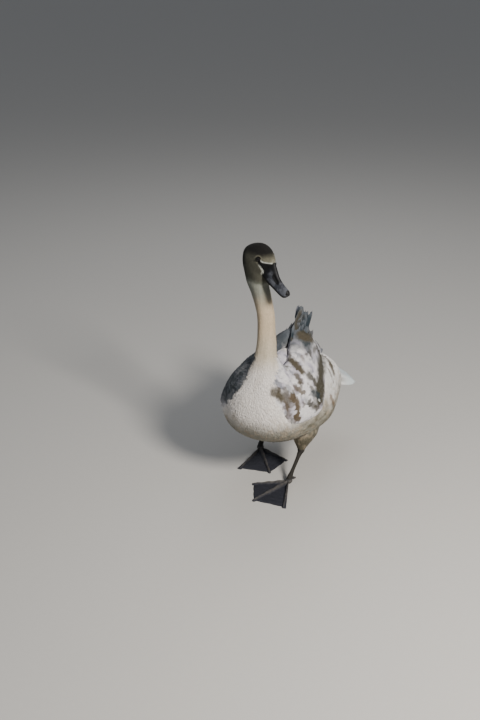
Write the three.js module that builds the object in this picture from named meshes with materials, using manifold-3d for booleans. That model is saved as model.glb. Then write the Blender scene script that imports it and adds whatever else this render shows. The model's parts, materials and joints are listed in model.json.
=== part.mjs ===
// A first-winter mute swan, life size, in mid-step with its neck up and its head turned to its left.
// Millimetres, +Z up. The bird faces -Y and its left side is +X. The origin is the middle of the footprint.
import * as THREE from 'three';
import { mergeVertices } from 'three/addons/utils/BufferGeometryUtils.js';
import Module from 'manifold-3d';

const wasm = await Module();
wasm.setup();

// ---------------------------------------------------------------- driving sizes
const gap = 0.3;               // clearance between neighbouring pieces
const sides = { left: 1, right: -1 };

const colours = {
  plumage: 0xd9d2c6, brown: 0x8d7a63, crown: 0x4c463f, bill: 0x3f4046, nail: 0x17181a, eye: 0x120d0a,
  leg: 0x34343a, web: 0x2c2c31, claw: 0x1c1a19, quill: 0xb9b4ab,
};

// Trunk, neck and head as one run of sections. Each stands on an upright line at [x, y], turned by so many
// degrees to the left of straight ahead. low is the belly, breast and throat line and high the back and nape
// line, both as [distance ahead of that line, z]. half is the half width, waist the height of the widest
// place as a share, and flat over 1 hollows the shoulders of a section.
const trunkSections = [
  { at: [31, 0], turn: 0, low: [-296, 188], high: [-304, 256], half: 54, waist: 0.5, flat: 1 },
  { at: [23, 0], turn: 0, low: [-260, 163], high: [-268, 292], half: 88, waist: 0.38, flat: 1 }, // vent
  { at: [9, 0], turn: 0, low: [-194, 136], high: [-206, 336], half: 117, waist: 0.31, flat: 1.1 }, // rump
  { at: [3, 0], turn: 0, low: [-114, 120], high: [-122, 368], half: 137, waist: 0.29, flat: 1.2 }, // hips
  { at: [0, 0], turn: 0, low: [-32, 125], high: [-44, 386], half: 138, waist: 0.31, flat: 1.5 }, // back
  { at: [-1, 0], turn: 0, low: [46, 139], high: [20, 393], half: 131, waist: 0.35, flat: 1.75 }, // shoulders
  { at: [-1, 0], turn: 0, low: [116, 166], high: [54, 398], half: 120, waist: 0.41, flat: 1.75 },
  { at: [0, 0], turn: 0, low: [168, 209], high: [68, 403], half: 112, waist: 0.48, flat: 1.2 }, // keel
  { at: [3, 0], turn: 0, low: [193, 262], high: [73, 410], half: 91, waist: 0.55, flat: 1 }, // breast
  { at: [7, 0], turn: 0, low: [190, 318], high: [75, 420], half: 68, waist: 0.57, flat: 1 },
  { at: [10, 0], turn: 0, low: [168, 368], high: [73, 434], half: 45, waist: 0.55, flat: 1 },
];
const neckSections = [
  { at: [11, -108], turn: 0, low: [38, 408], high: [-37, 452], half: 32, waist: 0.5, flat: 1 },
  { at: [10, -97], turn: 3, low: [31, 446], high: [-31, 474], half: 27.5, waist: 0.5, flat: 1 },
  { at: [7, -90], turn: 12, low: [28, 490], high: [-28, 504], half: 25, waist: 0.5, flat: 1 },
  { at: [1, -84], turn: 30, low: [27, 545], high: [-27, 552], half: 24.5, waist: 0.5, flat: 1 },
  { at: [-12, -84], turn: 52, low: [28, 598], high: [-29, 604], half: 26, waist: 0.5, flat: 1 },
  { at: [-20, -87], turn: 66, low: [28, 634], high: [-36, 642], half: 28.5, waist: 0.5, flat: 1 },
];
const headTurn = 68;           // degrees the head looks to the bird's left
const headPivot = [-16, -88];  // the upright line that the head turns on
const headSections = [
  { low: [29, 652], high: [-50, 668], half: 30, waist: 0.5 },
  { low: [31, 660], high: [-57, 698], half: 31.5, waist: 0.52 },    // nape
  { low: [32, 665], high: [-51, 728], half: 32, waist: 0.54 },      // back of the crown
  { low: [33, 668], high: [-26, 745], half: 31.5, waist: 0.54 },
  { low: [35, 669], high: [5, 752], half: 28.5, waist: 0.52 },      // crown, over the eyes
  { low: [37, 671], high: [31, 747], half: 24.5, waist: 0.5 },      // forehead
  { low: [40, 675], high: [48, 734], half: 19.5, waist: 0.48 },
  { low: [43, 682], high: [55, 714], half: 14, waist: 0.46 },       // feather edge at the bill
];
const sections = [...trunkSections, ...neckSections,
  ...headSections.map((s) => ({ ...s, at: headPivot, turn: headTurn, flat: 1 }))];
const eye = { ahead: 20, z: 717, out: 24.5, radius: 7.2 };
// The bill from the feather edge to the tip: top is the ridge, bottom the upper half's lower edge.
const billSections = [
  { top: [56, 711], bottom: [28, 674], half: 18 },
  { top: [64, 692], bottom: [44, 659], half: 17 },
  { top: [72, 675], bottom: [58, 650], half: 15 },
  { top: [83, 662], bottom: [73, 641], half: 13.5 },
  { top: [95, 653], bottom: [86, 634], half: 13.5 },
  { top: [106, 645], bottom: [99, 629], half: 12 },
  { top: [111, 639], bottom: [107, 631], half: 7 },
];
const lowerBillDrop = 9;       // depth of the lower half of the bill at its root
const nailStart = 0.86;        // share of the bill's length where the nail begins

const wing = {
  across: 20, rings: 15,
  sections: [                  // y, centre, half thickness and height, lean of the top towards the spine
    { y: -163, out: 76, z: 296, thick: 12, tall: 22, lean: 14 },
    { y: -130, out: 80, z: 302, thick: 30, tall: 60, lean: 26 },
    { y: -66, out: 80, z: 306, thick: 37, tall: 84, lean: 32 },
    { y: 0, out: 86, z: 305, thick: 39, tall: 90, lean: 33 },
    { y: 70, out: 67, z: 322, thick: 39, tall: 94, lean: 34 },
    { y: 140, out: 44, z: 345, thick: 33, tall: 87, lean: 34 },
    { y: 200, out: 27, z: 337, thick: 26, tall: 75, lean: 34 },
    { y: 262, out: 16, z: 306, thick: 17, tall: 50, lean: 30 },
    { y: 316, out: 12, z: 276, thick: 7, tall: 20, lean: 14 },
  ],
};
// Long feathers as thin blades: from the root to the tip, in the bird's own frame, mirrored by side.
const bladeThick = 3.2;
const tertials = {
  count: 5, root: [36, 62, 372], reach: 184, rise: [10, 22], splay: [-8, -15], width: 52, lean: 50,
};
const primaries = {
  count: 5, root: [28, 186, 276], reach: 178, rise: [-14, -9], splay: [-12, -5], width: 26, lean: 58,
};
const tail = {
  count: 9, root: [31, 226, 256], reach: 178, drop: 21, spread: 56, turn: 10, width: 36, shorten: 0.14,
  arch: 44, roll: 90,
};

const toes = {                 // length and angle from the middle toe, outwards
  outer: { reach: 140, angle: 38, thick: 5.2 },
  middle: { reach: 150, angle: 0, thick: 6 },
  inner: { reach: 110, angle: -37, thick: 5.2 },
};
const legs = {                 // toe joint, ankle, thigh root, and how far the middle toe turns from ahead
  left: { joint: [66, -45, 13], ankle: [83, 5, 91], hip: [82, 34, 178], aim: -22 },
  right: { joint: [-92, 101, 13], ankle: [-81, 133, 100], hip: [-62, 66, 200], aim: -35 },
};
const shankWidth = 7.5;        // half of the shank, side to side
const webThick = 1.8;
const clawReach = 13;

// ---------------------------------------------------------------- shapes
const rad = THREE.MathUtils.degToRad;
const vec = (x, y, z) => new THREE.Vector3(x, y, z);

// A closed surface through rings of points that all have the same count, with flat ends.
function loft(rings) {
  const count = rings[0].length;
  const points = rings.flat();
  const firstMiddle = middleOf(rings[0]);
  const lastMiddle = middleOf(rings.at(-1));
  const position = [...points, firstMiddle, lastMiddle].flatMap((p) => p.toArray());
  const index = [];
  for (let r = 0; r < rings.length - 1; r++) {
    for (let k = 0; k < count; k++) {
      const a = r * count + k;
      const b = r * count + (k + 1) % count;
      index.push(a, b, b + count, a, b + count, a + count);
    }
  }
  const lastRing = (rings.length - 1) * count;
  for (let k = 0; k < count; k++) {
    const next = (k + 1) % count;
    index.push(points.length, next, k);
    index.push(points.length + 1, lastRing + k, lastRing + next);
  }
  const geometry = new THREE.BufferGeometry();
  geometry.setAttribute('position', new THREE.Float32BufferAttribute(position, 3));
  geometry.setIndex(index);
  return geometry;
}

function middleOf(ring) {
  return ring.reduce((sum, p) => sum.add(p), vec(0, 0, 0)).divideScalar(ring.length);
}

// A smooth number or point that passes through one field of every section; t runs from 0 to 1.
function along(sections, field, t) {
  const values = sections.map((s) => [s[field] ?? 0].flat());
  const points = values.map((v) => vec(v[0], v[1] ?? 0, 0));
  const curve = new THREE.CatmullRomCurve3(points, false, 'catmullrom', 0.5);
  const p = curve.getPoint(THREE.MathUtils.clamp(t, 0, 1));
  return values[0].length > 1 ? [p.x, p.y] : p.x;
}

// One section as a ring of points, squarer below its waist; grow moves the ring outwards.
function sectionRing(t, across, grow = 0) {
  const [x, y] = along(sections, 'at', t);
  const turn = rad(along(sections, 'turn', t));
  const low = along(sections, 'low', t);
  const high = along(sections, 'high', t);
  const half = along(sections, 'half', t) + grow;
  const waist = along(sections, 'waist', t);
  const flat = along(sections, 'flat', t);
  const tall = Math.hypot(high[0] - low[0], high[1] - low[1]);
  const up = [(high[0] - low[0]) / tall, (high[1] - low[1]) / tall];
  const middle = [low[0] + up[0] * tall * waist, low[1] + up[1] * tall * waist];
  return Array.from({ length: across }, (_, k) => {
    const angle = (k / across) * Math.PI * 2;
    const power = Math.sin(angle) < 0 ? 0.86 : flat;
    const side = Math.sign(Math.cos(angle)) * Math.abs(Math.cos(angle)) ** power * half;
    const reach = (Math.sin(angle) > 0 ? 1 - waist : waist) * tall + grow;
    const rise = Math.sign(Math.sin(angle)) * Math.abs(Math.sin(angle)) ** power * reach;
    const ahead = middle[0] + up[0] * rise;
    return vec(x + side * Math.cos(turn) + ahead * Math.sin(turn),
      y + side * Math.sin(turn) - ahead * Math.cos(turn), middle[1] + up[1] * rise);
  });
}

function rings(from, to, count, make) {
  return Array.from({ length: count }, (_, i) => make(from + ((to - from) * i) / (count - 1)));
}

// A point of the head or bill, given as side, ahead and z, in the turned head's place.
function onHead(side, ahead, z) {
  const c = Math.cos(rad(headTurn));
  const s = Math.sin(rad(headTurn));
  return vec(headPivot[0] + side * c + ahead * s, headPivot[1] + side * s - ahead * c, z);
}

// The bill's section, a round ridge over a flat lower edge, growing into a flat spoon at the tip.
function upperBillRing(t, across, grow = 0) {
  const top = along(billSections, 'top', t);
  const bottom = along(billSections, 'bottom', t);
  const half = along(billSections, 'half', t) + grow;
  const tall = Math.hypot(top[0] - bottom[0], top[1] - bottom[1]);
  const up = [(top[0] - bottom[0]) / tall, (top[1] - bottom[1]) / tall];
  return Array.from({ length: across }, (_, k) => {
    const angle = (k / across) * Math.PI * 2;
    const rise = Math.sin(angle);
    const lift = rise > 0 ? rise * (tall + grow) : rise * (1.2 + grow);
    const narrow = 1 - 0.3 * (1 - t) * Math.max(rise, 0) ** 2;
    return onHead(Math.cos(angle) * half * narrow, bottom[0] + up[0] * lift, bottom[1] + up[1] * lift);
  });
}

// The lower half of the bill hangs under the upper one and thins towards the tip.
function lowerBillRing(t, across, grow = 0) {
  const top = along(billSections, 'top', t);
  const bottom = along(billSections, 'bottom', t);
  const half = along(billSections, 'half', t) * 0.86 + grow;
  const tall = Math.hypot(top[0] - bottom[0], top[1] - bottom[1]);
  const down = [(bottom[0] - top[0]) / tall, (bottom[1] - top[1]) / tall];
  const drop = lowerBillDrop * (1 - 0.6 * t) + grow;
  return Array.from({ length: across }, (_, k) => {
    const angle = (k / across) * Math.PI * 2;
    const rise = Math.sin(angle);
    const fall = 1.2 + gap + 0.6 + (rise > 0 ? -rise * (0.5 + grow) : -rise * drop);
    return onHead(Math.cos(angle) * half, bottom[0] + down[0] * fall, bottom[1] + down[1] * fall);
  });
}

function wingRing(t, side, grow = 0) {
  const part = (field) => along(wing.sections, field, t);
  const lean = rad(part('lean'));
  const thick = part('thick') + grow;
  const tall = part('tall') + grow;
  const ring = Array.from({ length: wing.across }, (_, k) => {
    const angle = (k / wing.across) * Math.PI * 2;
    const across = Math.cos(angle) * thick;
    const up = Math.sin(angle) * tall;
    const out = part('out') + across * Math.cos(lean) - up * Math.sin(lean);
    return vec(side * out, part('y'), part('z') + across * Math.sin(lean) + up * Math.cos(lean));
  });
  return side > 0 ? ring.reverse() : ring;
}

// A tube of ellipses between two points; sizes lists [place along, half across x, half the other way].
function limb(from, to, sizes, across) {
  const line = to.clone().sub(from);
  const wide = vec(1, 0, 0);
  const deep = line.clone().normalize().cross(wide).normalize();
  return loft(sizes.map(([t, a, b]) => Array.from({ length: across }, (_, k) => {
    const angle = (k / across) * Math.PI * 2;
    return from.clone().addScaledVector(line, t)
      .addScaledVector(wide, Math.cos(angle) * a).addScaledVector(deep, Math.sin(angle) * b);
  })));
}

// One long feather: a pointed blade laid from its root at a heading and rise, and rolled by lean.
function feather(root, reach, width, heading, rise, lean, grow = 0) {
  const half = width / 2 + grow;
  const outline = new THREE.Shape();
  outline.moveTo(-half * 0.35, -grow);
  outline.bezierCurveTo(-half, reach * 0.2, -half, reach * 0.8, -half * 0.3, reach + grow);
  outline.lineTo(half * 0.3, reach + grow);
  outline.bezierCurveTo(half, reach * 0.8, half, reach * 0.2, half * 0.35, -grow);
  outline.closePath();
  const depth = bladeThick + grow * 2;
  const geometry = new THREE.ExtrudeGeometry(outline, { depth, bevelEnabled: false, curveSegments: 3 });
  geometry.translate(0, 0, -depth / 2);
  geometry.rotateY(rad(lean));
  geometry.rotateX(rad(rise));
  geometry.rotateZ(rad(heading));
  geometry.translate(...root);
  return geometry;
}

// ---------------------------------------------------------------- solids
function solid(geometry) {
  const bare = geometry.index ? geometry.toNonIndexed() : geometry.clone();
  bare.deleteAttribute('normal');
  bare.deleteAttribute('uv');
  const merged = mergeVertices(bare, 1e-3);
  return new wasm.Manifold(new wasm.Mesh({
    numProp: 3,
    vertProperties: new Float32Array(merged.attributes.position.array),
    triVerts: new Uint32Array(merged.index.array),
  }));
}

function biggest(body) {
  return body.decompose().sort((a, b) => b.volume() - a.volume())[0];
}

function geometryOf(body) {
  const mesh = body.getMesh();
  const geometry = new THREE.BufferGeometry();
  geometry.setAttribute('position', new THREE.BufferAttribute(new Float32Array(mesh.vertProperties), 3));
  geometry.setIndex(new THREE.BufferAttribute(new Uint32Array(mesh.triVerts), 1));
  return geometry.toNonIndexed();
}

const joined = (bodies) => bodies.reduce((sum, body) => sum.add(body));
const cutBy = (body, tools) => tools.reduce((rest, tool) => rest.subtract(tool), body);
const block = (low, high) => {
  const size = high.map((v, i) => v - low[i]);
  const geometry = new THREE.BoxGeometry(...size);
  geometry.translate(...low.map((v, i) => v + size[i] / 2));
  return solid(geometry);
};

const swan = new THREE.Group();
function place(name, body, colour, roughness = 0.8) {
  const geometry = geometryOf(biggest(body));
  geometry.computeVertexNormals();
  const material = new THREE.MeshStandardMaterial({ color: colour, roughness, metalness: 0 });
  const mesh = new THREE.Mesh(geometry, material);
  mesh.name = name;
  swan.add(mesh);
}

// Trunk, neck and head: one body cut across where a person would name its parts, a hair apart.
const lastSection = sections.length - 1;
const hair = 0.007 / lastSection;      // a gap's share of the whole run
const cuts = {
  trunk: { from: 0, to: trunkSections.length - 1, rings: 20, across: 28 },
  neck_lower: { from: 10, to: 12.6, rings: 6, across: 20 },
  neck_middle: { from: 12.6, to: 14.3, rings: 4, across: 20 },
  neck_upper: { from: 14.3, to: 16, rings: 4, across: 20 },
  head: { from: 16, to: lastSection, rings: 13, across: 22 },
};
function bodyPiece(name, grow = 0) {
  const { from, to, rings: count, across } = cuts[name];
  const end = to / lastSection - (grow || to === lastSection ? 0 : hair);
  return solid(loft(rings(from / lastSection, end, count, (t) => sectionRing(t, across, grow))));
}
const halves = {
  left: block([0.2, -400, 0], [400, 600, 800]),
  right: block([-400, -400, 0], [-0.2, 600, 800]),
};
const ground = block([-400, -400, -60], [400, 600, 0]);

const wingShape = (side, grow) => solid(loft(rings(0, 1, wing.rings, (t) => wingRing(t, side, grow))));
const trunk = bodyPiece('trunk');
const trunkGrown = bodyPiece('trunk', gap);

const wings = {};
const wingsGrown = {};
const quillsGrown = [];
for (const [name, side] of Object.entries(sides)) {
  wings[name] = wingShape(side, 0).subtract(trunkGrown).intersect(halves[name]);
  wingsGrown[name] = wingShape(side, gap);
}

// A fan of long feathers from one root; rise and splay run from the lowest feather to the highest.
function fan(spec, side, grow) {
  return joined(Array.from({ length: spec.count }, (_, i) => {
    const share = i / (spec.count - 1);
    const heading = -side * THREE.MathUtils.lerp(...spec.splay, share);
    const rise = THREE.MathUtils.lerp(...spec.rise, share);
    const root = [side * (spec.root[0] - 6 * share), spec.root[1] + 10 * share, spec.root[2] + 8 * share];
    const reach = spec.reach * (0.86 + 0.14 * share);
    return solid(feather(root, reach, spec.width, heading, rise, side * spec.lean, grow));
  }));
}

function tailFan(grow) {
  return joined(Array.from({ length: tail.count }, (_, i) => {
    const share = i / (tail.count - 1) - 0.5;
    const reach = tail.reach * (1 - tail.shorten * Math.abs(share) * 2);
    const arch = -Math.abs(share) * tail.arch;
    const root = [tail.root[0] - share * 26, tail.root[1], tail.root[2] + arch];
    const heading = share * tail.spread - tail.turn;
    return solid(feather(root, reach, tail.width, heading, -tail.drop, share * -tail.roll, grow));
  }));
}

const bodyTools = [trunkGrown, wingsGrown.left, wingsGrown.right];
const tailBody = tailFan(0).subtract(trunkGrown);
const tailGrown = tailFan(gap);
place('trunk', trunk, colours.plumage);
for (const name of ['neck_lower', 'neck_middle', 'neck_upper']) {
  place(name, bodyPiece(name), colours.plumage);
}
for (const [name, side] of Object.entries(sides)) {
  place(`wing_${name}`, cutBy(wings[name], [tailGrown]), colours.plumage);
  const crossed = name === 'right' ? [fan(tertials, sides.left, gap)] : [];
  place(`tertials_${name}`, cutBy(fan(tertials, side, 0), [...bodyTools, ...crossed]), colours.brown);
  const quills = cutBy(fan(primaries, side, 0), [...bodyTools, tailGrown]).intersect(halves[name]);
  place(`primaries_${name}`, quills, colours.quill);
}
place('tail', tailBody, colours.quill);

// Head with sockets for the eyes and a flat seat for the bill.
const eyes = {};
for (const [name, side] of Object.entries(sides)) {
  const at = onHead(side * eye.out, eye.ahead, eye.z);
  const globe = (grow) => new THREE.SphereGeometry(eye.radius + grow, 12, 8).translate(...at.toArray());
  eyes[name] = { body: solid(globe(0)), socket: solid(globe(gap)) };
}
function upperBill(from, to, count, grow) {
  return solid(loft(rings(from, to, count, (t) => upperBillRing(t, 14, grow))));
}
function lowerBill(to, grow) {
  return solid(loft(rings(0, to, 7, (t) => lowerBillRing(t, 14, grow))));
}
const headTools = [eyes.left.socket, eyes.right.socket, upperBill(0, 1, 10, gap), lowerBill(0.95, gap)];
const head = cutBy(bodyPiece('head'), headTools);
place('head', head, colours.crown);
place('bill_upper', upperBill(0, nailStart - 0.004, 8, 0), colours.bill, 0.45);
place('bill_nail', upperBill(nailStart, 1, 4, 0), colours.nail, 0.4);
place('bill_lower', cutBy(lowerBill(0.9, 0), [upperBill(0, 1, 10, gap * 2)]), colours.bill, 0.5);
for (const name of Object.keys(sides)) place(`eye_${name}`, eyes[name].body, colours.eye, 0.1);

// ---------------------------------------------------------------- legs and feet
function toeLine(leg, spec, side) {
  const aim = rad(leg.aim + spec.angle) * side;
  return vec(Math.sin(aim), -Math.cos(aim), 0);
}

function toe(start, way, reach, thick, grow = 0) {
  const end = start.clone().addScaledVector(way, reach);
  end.z = thick * 0.55;
  const knuckles = [];
  const steps = 6;
  for (let i = 0; i <= steps; i++) {
    const t = i / steps;
    const swell = 1 + 0.13 * Math.cos(t * Math.PI * 3);
    const size = thick * (1 - 0.42 * t) * swell + grow;
    knuckles.push([t, size, size * 0.86]);
  }
  return crosswise(start, end, knuckles);
}

// A tube of ellipses that lies along the ground; sizes are half across and half up.
function crosswise(from, to, sizes, across = 8) {
  const line = to.clone().sub(from);
  const wide = vec(-line.y, line.x, 0).normalize();
  const up = line.clone().normalize().cross(wide).normalize();
  return solid(loft(sizes.map(([t, a, b]) => Array.from({ length: across }, (_, k) => {
    const angle = (k / across) * Math.PI * 2;
    return from.clone().addScaledVector(line, t)
      .addScaledVector(wide, Math.cos(angle) * a).addScaledVector(up, Math.sin(angle) * b);
  }))));
}

// The web between two toes: a thin plate with a hollowed front edge.
function web(joint, wayA, reachA, wayB, reachB) {
  const outline = new THREE.Shape();
  const a = wayA.clone().multiplyScalar(reachA);
  const b = wayB.clone().multiplyScalar(reachB);
  const dip = a.clone().add(b).multiplyScalar(0.5).multiplyScalar(0.9);
  outline.moveTo(0, 0);
  outline.lineTo(a.x, a.y);
  outline.quadraticCurveTo(dip.x, dip.y, b.x, b.y);
  outline.closePath();
  const settings = { depth: webThick, bevelEnabled: false, curveSegments: 8 };
  const plate = new THREE.ExtrudeGeometry(outline, settings);
  return solid(plate.translate(joint.x, joint.y, 0));
}

for (const [name, side] of Object.entries(sides)) {
  const leg = legs[name];
  const joint = vec(...leg.joint);
  const ankle = vec(...leg.ankle);
  const hip = vec(...leg.hip);
  const ways = Object.fromEntries(Object.entries(toes).map(([t, spec]) => [t, toeLine(leg, spec, side)]));
  const start = vec(joint.x, joint.y, 6.5);

  const shank = solid(limb(joint.clone().add(vec(0, 0, 0.5)), ankle, [
    [0, 8, 8.5], [0.12, shankWidth, 7.5], [0.3, shankWidth * 0.72, 7.2], [0.7, shankWidth * 0.74, 7.6],
    [0.88, shankWidth, 9], [1, shankWidth * 1.12, 9.5],
  ], 12));
  const padShape = (grow) => solid(new THREE.SphereGeometry(10.5 + grow, 12, 8).scale(1, 1.1, 0.95)
    .translate(joint.x, joint.y, 8.5));
  const thighShape = (grow) => solid(limb(ankle.clone().add(vec(0, 0, 5)), hip, [
    [0, 10.5 + grow, 11.5 + grow], [0.13, 17 + grow, 20 + grow], [0.36, 29 + grow, 36 + grow],
    [0.7, 43 + grow, 52 + grow], [1, 48 + grow, 58 + grow],
  ], 20));
  const thigh = thighShape(0).subtract(trunkGrown);
  place(`thigh_${name}`, thigh, colours.plumage);

  const reachOf = (t) => toes[t].reach;
  const toeBodies = Object.entries(toes).map(([t, spec]) =>
    toe(start, ways[t], spec.reach - clawReach, spec.thick));
  const webs = [
    web(joint, ways.middle, reachOf('middle') * 0.9, ways.outer, reachOf('outer') * 0.9),
    web(joint, ways.inner, reachOf('inner') * 0.88, ways.middle, reachOf('middle') * 0.9),
  ];
  const foot = joined([padShape(0), ...toeBodies, ...webs]).subtract(ground);
  place(`foot_${name}`, foot, colours.web, 0.6);
  const shankTools = [joined([padShape(gap), ...Object.entries(toes).map(([t, spec]) =>
    toe(start, ways[t], 30, spec.thick, gap))]), thighShape(gap)];
  place(`shank_${name}`, cutBy(shank, shankTools), colours.leg, 0.6);

  // The hind toe hangs just above the ground, behind the joint.
  const back = ways.middle.clone().multiplyScalar(-1).applyAxisAngle(vec(0, 0, 1), rad(18 * side));
  const hindFrom = joint.clone().addScaledVector(back, 5).add(vec(0, 0, 3));
  const hindTo = joint.clone().addScaledVector(back, 27).add(vec(0, 0, -6.5));
  const hindSizes = [[0, 3.8, 4], [0.5, 3.6, 3.8], [0.85, 2.8, 3.2], [1, 1.2, 1.4]];
  const hind = crosswise(hindFrom, hindTo, hindSizes, 10);
  const shankSizes = [[0, 8 + gap, 8.5 + gap], [0.3, shankWidth + gap, 8 + gap]];
  const shankFoot = solid(limb(joint, ankle, shankSizes, 16));
  place(`hind_toe_${name}`, cutBy(hind, [shankTools[0], shankFoot]), colours.leg, 0.6);

  for (const [t, spec] of Object.entries(toes)) {
    const from = start.clone().addScaledVector(ways[t], spec.reach - clawReach + gap);
    from.z = spec.thick * 0.55;
    const to = start.clone().addScaledVector(ways[t], spec.reach);
    to.z = 1.6;
    const root = spec.thick * 0.58;
    const sizes = [[0, root, root * 0.9], [0.5, root * 0.75, root * 0.7], [1, 0.6, 0.6]];
    const claw = crosswise(from, to, sizes, 6);
    place(`claw_${t}_${name}`, claw.subtract(ground), colours.claw, 0.4);
  }
}

// The origin is the middle of the footprint, on the ground.
const box = new THREE.Box3().setFromObject(swan);
const middle = box.getCenter(vec(0, 0, 0));
for (const mesh of swan.children) mesh.geometry.translate(-middle.x, -middle.y, -box.min.z);

export default swan;
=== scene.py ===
# A standing first-winter mute swan, life size: one skin, a bill, eyes, feet and a coat of feather vanes.
# The tables are in millimetres from the point on the ground under the body. The bird faces -Y, its left is +X.
import json
import math
import bpy
import numpy as np
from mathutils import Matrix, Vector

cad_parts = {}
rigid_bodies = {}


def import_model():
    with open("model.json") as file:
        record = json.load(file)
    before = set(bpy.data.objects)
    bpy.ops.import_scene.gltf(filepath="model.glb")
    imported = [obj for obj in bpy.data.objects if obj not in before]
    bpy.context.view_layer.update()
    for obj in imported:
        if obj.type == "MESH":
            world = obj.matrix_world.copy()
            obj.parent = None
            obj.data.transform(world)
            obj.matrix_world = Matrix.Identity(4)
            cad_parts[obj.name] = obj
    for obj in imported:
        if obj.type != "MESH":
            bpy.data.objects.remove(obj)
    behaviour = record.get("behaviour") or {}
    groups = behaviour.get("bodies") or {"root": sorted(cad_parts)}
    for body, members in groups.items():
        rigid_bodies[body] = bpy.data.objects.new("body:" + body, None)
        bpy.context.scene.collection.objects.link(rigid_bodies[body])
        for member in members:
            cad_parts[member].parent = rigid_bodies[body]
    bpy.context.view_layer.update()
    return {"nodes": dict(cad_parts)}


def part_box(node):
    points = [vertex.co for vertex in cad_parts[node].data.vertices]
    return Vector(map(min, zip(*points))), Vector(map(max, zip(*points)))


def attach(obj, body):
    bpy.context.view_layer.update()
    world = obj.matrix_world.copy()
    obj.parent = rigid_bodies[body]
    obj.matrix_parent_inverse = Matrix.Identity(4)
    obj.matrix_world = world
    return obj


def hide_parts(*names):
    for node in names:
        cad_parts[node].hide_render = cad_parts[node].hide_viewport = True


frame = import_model()
mm = 0.001
fullTurn = 2 * np.pi

body = {  # the bird's plan, as the solids have it
    "trunk": [  # x, y, turn, low end ahead, z, high end ahead, z, half width, waist, flatness of the back
        (31, 0, 0, -296, 188, -304, 256, 54, 0.5, 1),
        (23, 0, 0, -260, 163, -268, 292, 88, 0.38, 1),
        (9, 0, 0, -194, 136, -206, 336, 117, 0.31, 1.1),
        (3, 0, 0, -114, 120, -122, 368, 137, 0.29, 1.2),
        (0, 0, 0, -32, 125, -44, 386, 138, 0.31, 1.5),
        (-1, 0, 0, 46, 139, 20, 393, 131, 0.35, 1.75),
        (-1, 0, 0, 116, 166, 54, 398, 120, 0.41, 1.75),
        (0, 0, 0, 168, 209, 68, 403, 112, 0.48, 1.2),
        (3, 0, 0, 193, 262, 73, 410, 91, 0.55, 1),
        (7, 0, 0, 190, 318, 75, 420, 68, 0.57, 1),
        (10, 0, 0, 168, 368, 73, 434, 45, 0.55, 1),
    ],
    "neck": [
        (11, -108, 0, 38, 408, -37, 452, 32, 0.5, 1),
        (10, -97, 3, 31, 446, -31, 474, 27.5, 0.5, 1),
        (7, -90, 12, 28, 490, -28, 504, 25, 0.5, 1),
        (1, -84, 30, 27, 545, -27, 552, 24.5, 0.5, 1),
        (-12, -84, 52, 28, 598, -29, 604, 26, 0.5, 1),
        (-20, -87, 66, 28, 634, -36, 642, 28.5, 0.5, 1),
    ],
    "headTurn": 68, "headPivot": (-16, -88),
    "head": [  # low end ahead, z, high end ahead, z, half width, waist
        (29, 652, -50, 668, 30, 0.5),
        (31, 660, -57, 698, 31.5, 0.52),
        (32, 665, -51, 728, 32, 0.54),
        (33, 668, -26, 745, 31.5, 0.54),
        (35, 669, 5, 752, 28.5, 0.52),
        (37, 671, 30, 746, 22.5, 0.5),
        (40, 675, 46, 731, 16.5, 0.48),
        (43, 682, 55, 714, 13, 0.46),
    ],
    "headStart": 16,  # the section from which the skin's rows lie closer
    "underPower": 0.86,  # how full the underside is: less is fuller
}
wing = {
    "sections": [  # y, centre out, z, half thickness, half height, lean of the top towards the spine
        (-163, 76, 296, 12, 22, 14),
        (-130, 80, 302, 30, 60, 26),
        (-66, 80, 306, 37, 84, 32),
        (0, 86, 305, 39, 90, 33),
        (70, 67, 322, 39, 94, 34),
        (140, 44, 345, 33, 87, 34),
        (200, 27, 337, 26, 75, 34),
        (262, 16, 306, 17, 50, 30),
        (316, 12, 276, 7, 20, 14),
    ],
}
legs = {  # toe joint, ankle, thigh root, and how far the middle toe turns from ahead
    "left": {"joint": (66, -45, 13), "ankle": (83, 5, 91), "hip": (82, 34, 178), "aim": -22},
    "right": {"joint": (-92, 101, 13), "ankle": (-81, 133, 100), "hip": (-62, 66, 200), "aim": -35},
}
limbs = {  # place along the limb, half width, half depth
    "thigh": [(0, 10.5, 11.5), (0.13, 17, 20), (0.36, 29, 36), (0.7, 43, 52), (1, 48, 58)],
    "shank": [(0, 8, 8.5), (0.12, 7.5, 7.5), (0.3, 5.4, 7.2), (0.7, 5.55, 7.6), (0.88, 7.5, 9), (1, 8.4, 9.5)],
    "aboveAnkle": 5, "aboveToes": 0.5,  # where the thigh and the shank begin
}
eye = {"ahead": 20, "z": 717, "out": 24.5, "radius": 7.2, "opening": 4.6, "pupil": (0.93, 0.95)}
sides = {"left": 1, "right": -1}
hashPrimes = (73856093, 19349663, 83492791)  # they spread the cells of the noise


def curveThrough(rows, t):
    # one smooth run through the rows: a cubic between each two, whose slopes are half the step
    # from the row before to the row after, with a straight step added beyond each end
    rows = np.asarray(rows, float)
    place = np.clip(t, 0, 1) * (len(rows) - 1)
    i = np.minimum(place.astype(int), len(rows) - 2)
    f = (place - i)[..., None]
    longer = np.vstack([2 * rows[0] - rows[1], rows, 2 * rows[-1] - rows[-2]])
    before, start, end, after = longer[i], longer[i + 1], longer[i + 2], longer[i + 3]
    slopeIn, slopeOut = (end - before) / 2, (after - start) / 2
    return ((2 * f**3 - 3 * f**2 + 1) * start + (f**3 - 2 * f**2 + f) * slopeIn
            + (3 * f**2 - 2 * f**3) * end + (f**3 - f**2) * slopeOut)


def columnsAt(rows, t):
    # the same run, as one array for each column of the table
    return np.moveaxis(curveThrough(rows, t), -1, 0)


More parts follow.
